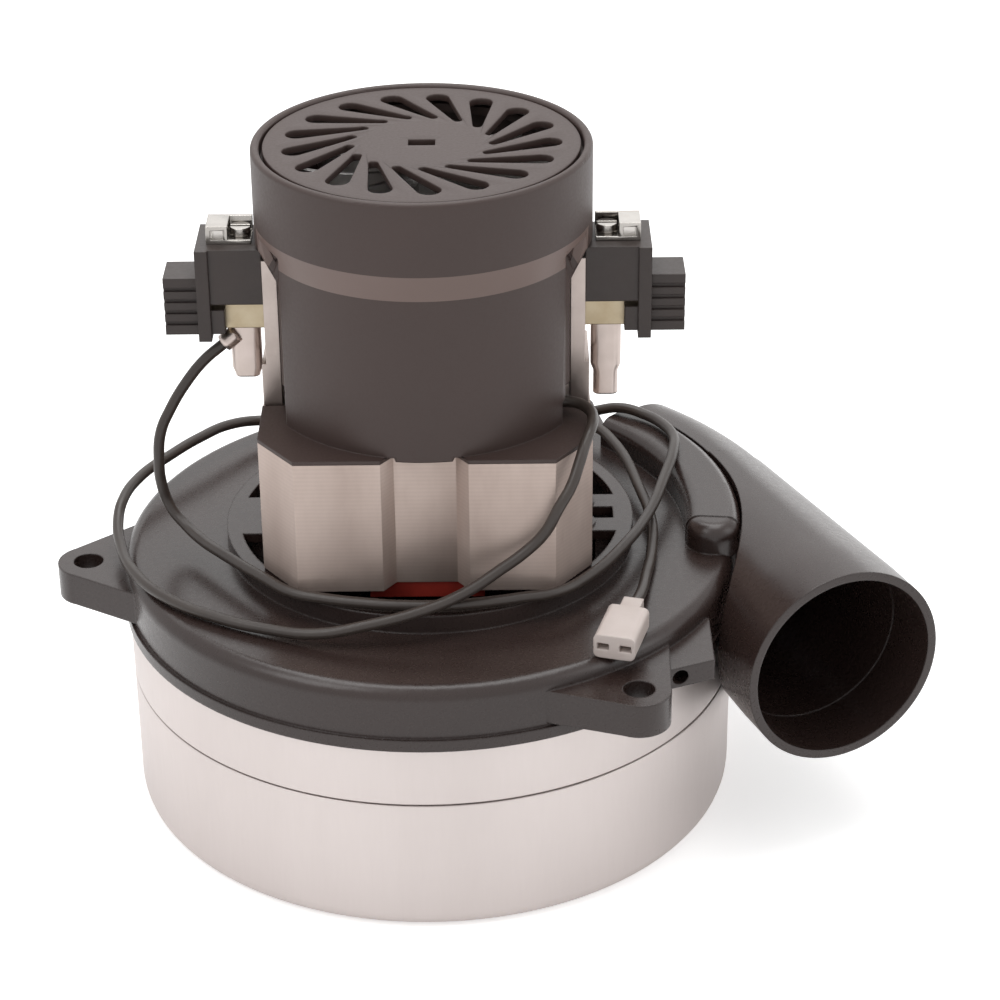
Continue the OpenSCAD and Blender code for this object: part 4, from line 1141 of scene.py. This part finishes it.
@dataclass
class FieldCoil:
    """One field coil: a bundle of wires carried round its pole, which faces along Y."""

    node: str
    facing: float
    inner_x: float = 11.6
    inner_z: float = 16.5
    middle_z: float = 84.0
    near_y: float = 22.2
    wires: tuple[int, int] = (8, 5)
    size: Pair = (6.2, 3.9)
    turn: float = 0.8
    ridge_steps: int = 6
    corner_steps: int = 9

    def profile(self) -> Array:
        """Section of the bundle: its box with one round ridge per wire along each side.

        Between wires the line sinks by half a wire times 1 - |sin(pi n)|, n being the wires passed.

        Returns:
            Distance out from the pole and distance along Y of each point.
        """
        corners = np.array([[0, 0], [1, 0], [1, 1], [0, 1]], float) * self.size
        outward = np.array([[0, -1], [1, 0], [0, 1], [-1, 0]], float)
        t = np.linspace(0, 1, self.ridge_steps, endpoint=False)
        sides = []
        for k, count in enumerate(self.wires * 2):
            run = (np.arange(count)[:, None] + t).ravel() / count
            pitch = self.size[k % 2] / count
            sink = pitch / 2 * (1 - np.abs(np.sin(np.pi * run * count)))
            line = corners[k] + run[:, None] * (corners[(k + 1) % 4] - corners[k])
            sides.append(line - sink[:, None] * outward[k])
        return np.concatenate(sides)

    def build(self) -> None:
        """Carry the section round the pole's four corners.

        Each point is its corner's centre plus (turn + out) times (cos a, sin a) in X and Z.
        """
        out, along = self.profile().T
        quarter = np.linspace(0, np.pi / 2, self.corner_steps)
        a = (quarter + np.pi / 2 * np.arange(4)[:, None]).reshape(-1, 1)
        x_sign = np.repeat([1, -1, -1, 1], self.corner_steps)[:, None]
        z_sign = np.repeat([1, 1, -1, -1], self.corner_steps)[:, None]
        reach = self.turn + out
        x = x_sign * (self.inner_x - self.turn) + reach * np.cos(a)
        z = self.middle_z + z_sign * (self.inner_z - self.turn) + reach * np.sin(a)
        y = np.broadcast_to(self.facing * (self.near_y + along), x.shape)
        points = np.stack([x, y, z], -1).reshape(-1, 3)
        quads = grid_faces(*x.shape, True, True)
        obj = mesh_object(self.node + "_wound", points, quads, sharp_deg=60)
        settle(obj, self.node, MAGNET_WIRE, self.node)


@dataclass
class Terminal:
    """One push-on terminal rolled from sheet, with a narrower barrel at its foot.

    The widths mouth_w, shoulder_w and barrel_w are shares of the receiver's own.
    """

    node: str
    side: Side
    height: float
    crimp: Array | None = None
    centre_x: float = 41.2
    top: float = 117.95
    half_width: float = 3.5
    half_depth: float = 1.8
    sheet: float = 0.45
    receiver: float = 11.4
    lip: float = 0.3
    shoulder: float = 0.4
    neck: float = 1.4
    mouth_w: float = 0.97
    shoulder_w: float = 0.98
    barrel_w: float = 0.8
    crimp_r: float = 2.1
    crimp_steps: int = 5
    crimp_sides: int = 24
    roll_deg: Pair = (90.0, -150.0)
    roll_steps: int = 32

    def section(self) -> Array:
        """Flat front with both edges rolled round to the back, each on an arc over roll_deg.

        Returns:
            X and Y of the sheet's middle line.
        """
        r = self.half_depth - self.sheet / 2
        a = np.radians(np.linspace(*self.roll_deg, self.roll_steps))
        right = polar(r, a) * (1, -1) + (self.half_width - self.half_depth, 0)
        return np.concatenate([right[::-1] * (-1, 1), right])

    def build(self) -> None:
        """Carry the section down, drawing it in below the receiver, and add the lead's crimp."""
        stations = np.array([
            [0, self.mouth_w],
            [self.lip, 1],
            [self.receiver - self.shoulder, 1],
            [self.receiver, self.shoulder_w],
            [self.receiver + self.neck, self.barrel_w],
            [self.height - self.lip, self.barrel_w],
            [self.height, self.barrel_w],
        ])
        drop, width = stations[:, :1], stations[:, 1:]
        line = self.section()
        x = self.side.value * self.centre_x + width * line[:, 0]
        y = np.broadcast_to(line[:, 1], x.shape)
        z = np.broadcast_to(self.top - drop, x.shape)
        points = np.stack([x, y, z], -1).reshape(-1, 3)
        shells = [(points, grid_faces(*x.shape, False, False))]
        if self.crimp is not None:
            grip = np.linspace(*self.crimp, self.crimp_steps)
            middle_r = self.crimp_r - self.sheet / 2
            shells.append(tube(grip, middle_r, self.crimp_sides, up=(0.0, 1.0, 0.0)))
        obj = mesh_object(self.node + "_rolled", *joined(shells), sharp_deg=50)
        thicken(obj, self.sheet, offset=0.0)
        settle(obj, self.node, TIN_PLATE, self.node)


@dataclass
class FanCase:
    """The two drawn shells, turned from their wall sections."""

    radius: float = 72.0
    sheet: float = 1.2
    inlet_radius: float = 22.5
    collar: float = 4.0
    corner: float = 4.0
    lower_top: float = 33.0
    stage_low: float = 33.4
    stage_top: float = 47.8
    eye_radius: float = 22.0
    spigot_radius: float = 70.5
    spigot_low: float = 27.4

    def inlet_shell(self) -> Object:
        """Cup section: collar, floor, round corner and wall.

        Returns:
            The turned shell.
        """
        outer, inner, t = self.radius, self.radius - self.sheet, self.sheet
        eye, lip = self.inlet_radius, self.inlet_radius + t
        # Radius, height and rounding of each corner
        corners = np.array([
            [eye, 0, 0.5],
            [outer, 0, self.corner],
            [outer, self.lower_top, 0.35],
            [inner, self.lower_top, 0.35],
            [inner, t, self.corner - t],
            [lip, t, 0.4],
            [lip, self.collar, 0.35],
            [eye, self.collar, 0.35],
        ])
        outline = rounded(corners[:, :2], corners[:, 2], steps=7)
        return mesh_object("inlet_shell_drawn", *lathe(outline))

    def stage_shell(self) -> Object:
        """Band section with its diaphragm and the spigot that enters the lower shell.

        Returns:
            The turned shell.
        """
        outer, inner, low = self.radius, self.radius - self.sheet, self.stage_low
        spigot, bore = self.spigot_radius, self.spigot_radius - self.sheet
        # Radius, height and rounding of each corner
        corners = np.array([
            [self.eye_radius, low, 0.3],
            [bore, low, 0.3],
            [bore, self.spigot_low, 0.3],
            [spigot, self.spigot_low, 0.3],
            [spigot, low, 0.2],
            [outer, low, 0.35],
            [outer, self.stage_top, 0.3],
            [inner, self.stage_top, 0.3],
            [inner, low + self.sheet, 0.4],
            [self.eye_radius, low + self.sheet, 0.3],
        ])
        outline = rounded(corners[:, :2], corners[:, 2], steps=5)
        return mesh_object("stage_shell_drawn", *lathe(outline))

    def build(self) -> None:
        """Turn both shells."""
        settle(self.inlet_shell(), "inlet_shell", CASE_STEEL, "inlet_shell")
        settle(self.stage_shell(), "stage_shell", CASE_STEEL, "stage_shell")


def dress_nodes() -> None:
    """Give every CAD node its finish, for those that still show."""
    for name, obj in frame["nodes"].items():
        obj.data.materials.clear()
        obj.data.materials.append(NODE_FINISH[name].material())
        LOG.info("finish %s on %s", NODE_FINISH[name].name, name)


def main() -> None:
    """Build the studio, the leads and the pieces in order."""
    logging.basicConfig(level=logging.INFO)
    Studio().build()
    dress_nodes()
    BRUSH_LEAD.build()
    FIELD_LEAD.build()
    FanCase().build()
    FieldCoil("field_coil_front", facing=-1).build()
    FieldCoil("field_coil_rear", facing=1).build()
    Terminal("terminal_left", Side.LEFT, height=13.2, crimp=BRUSH_LEAD.crimp()).build()
    Terminal("terminal_right", Side.RIGHT, height=18.5).build()
    VentCover().build()
    VentGrille().build()
    for piece in EASED:
        piece.build()


if __name__ == "__main__":
    main()
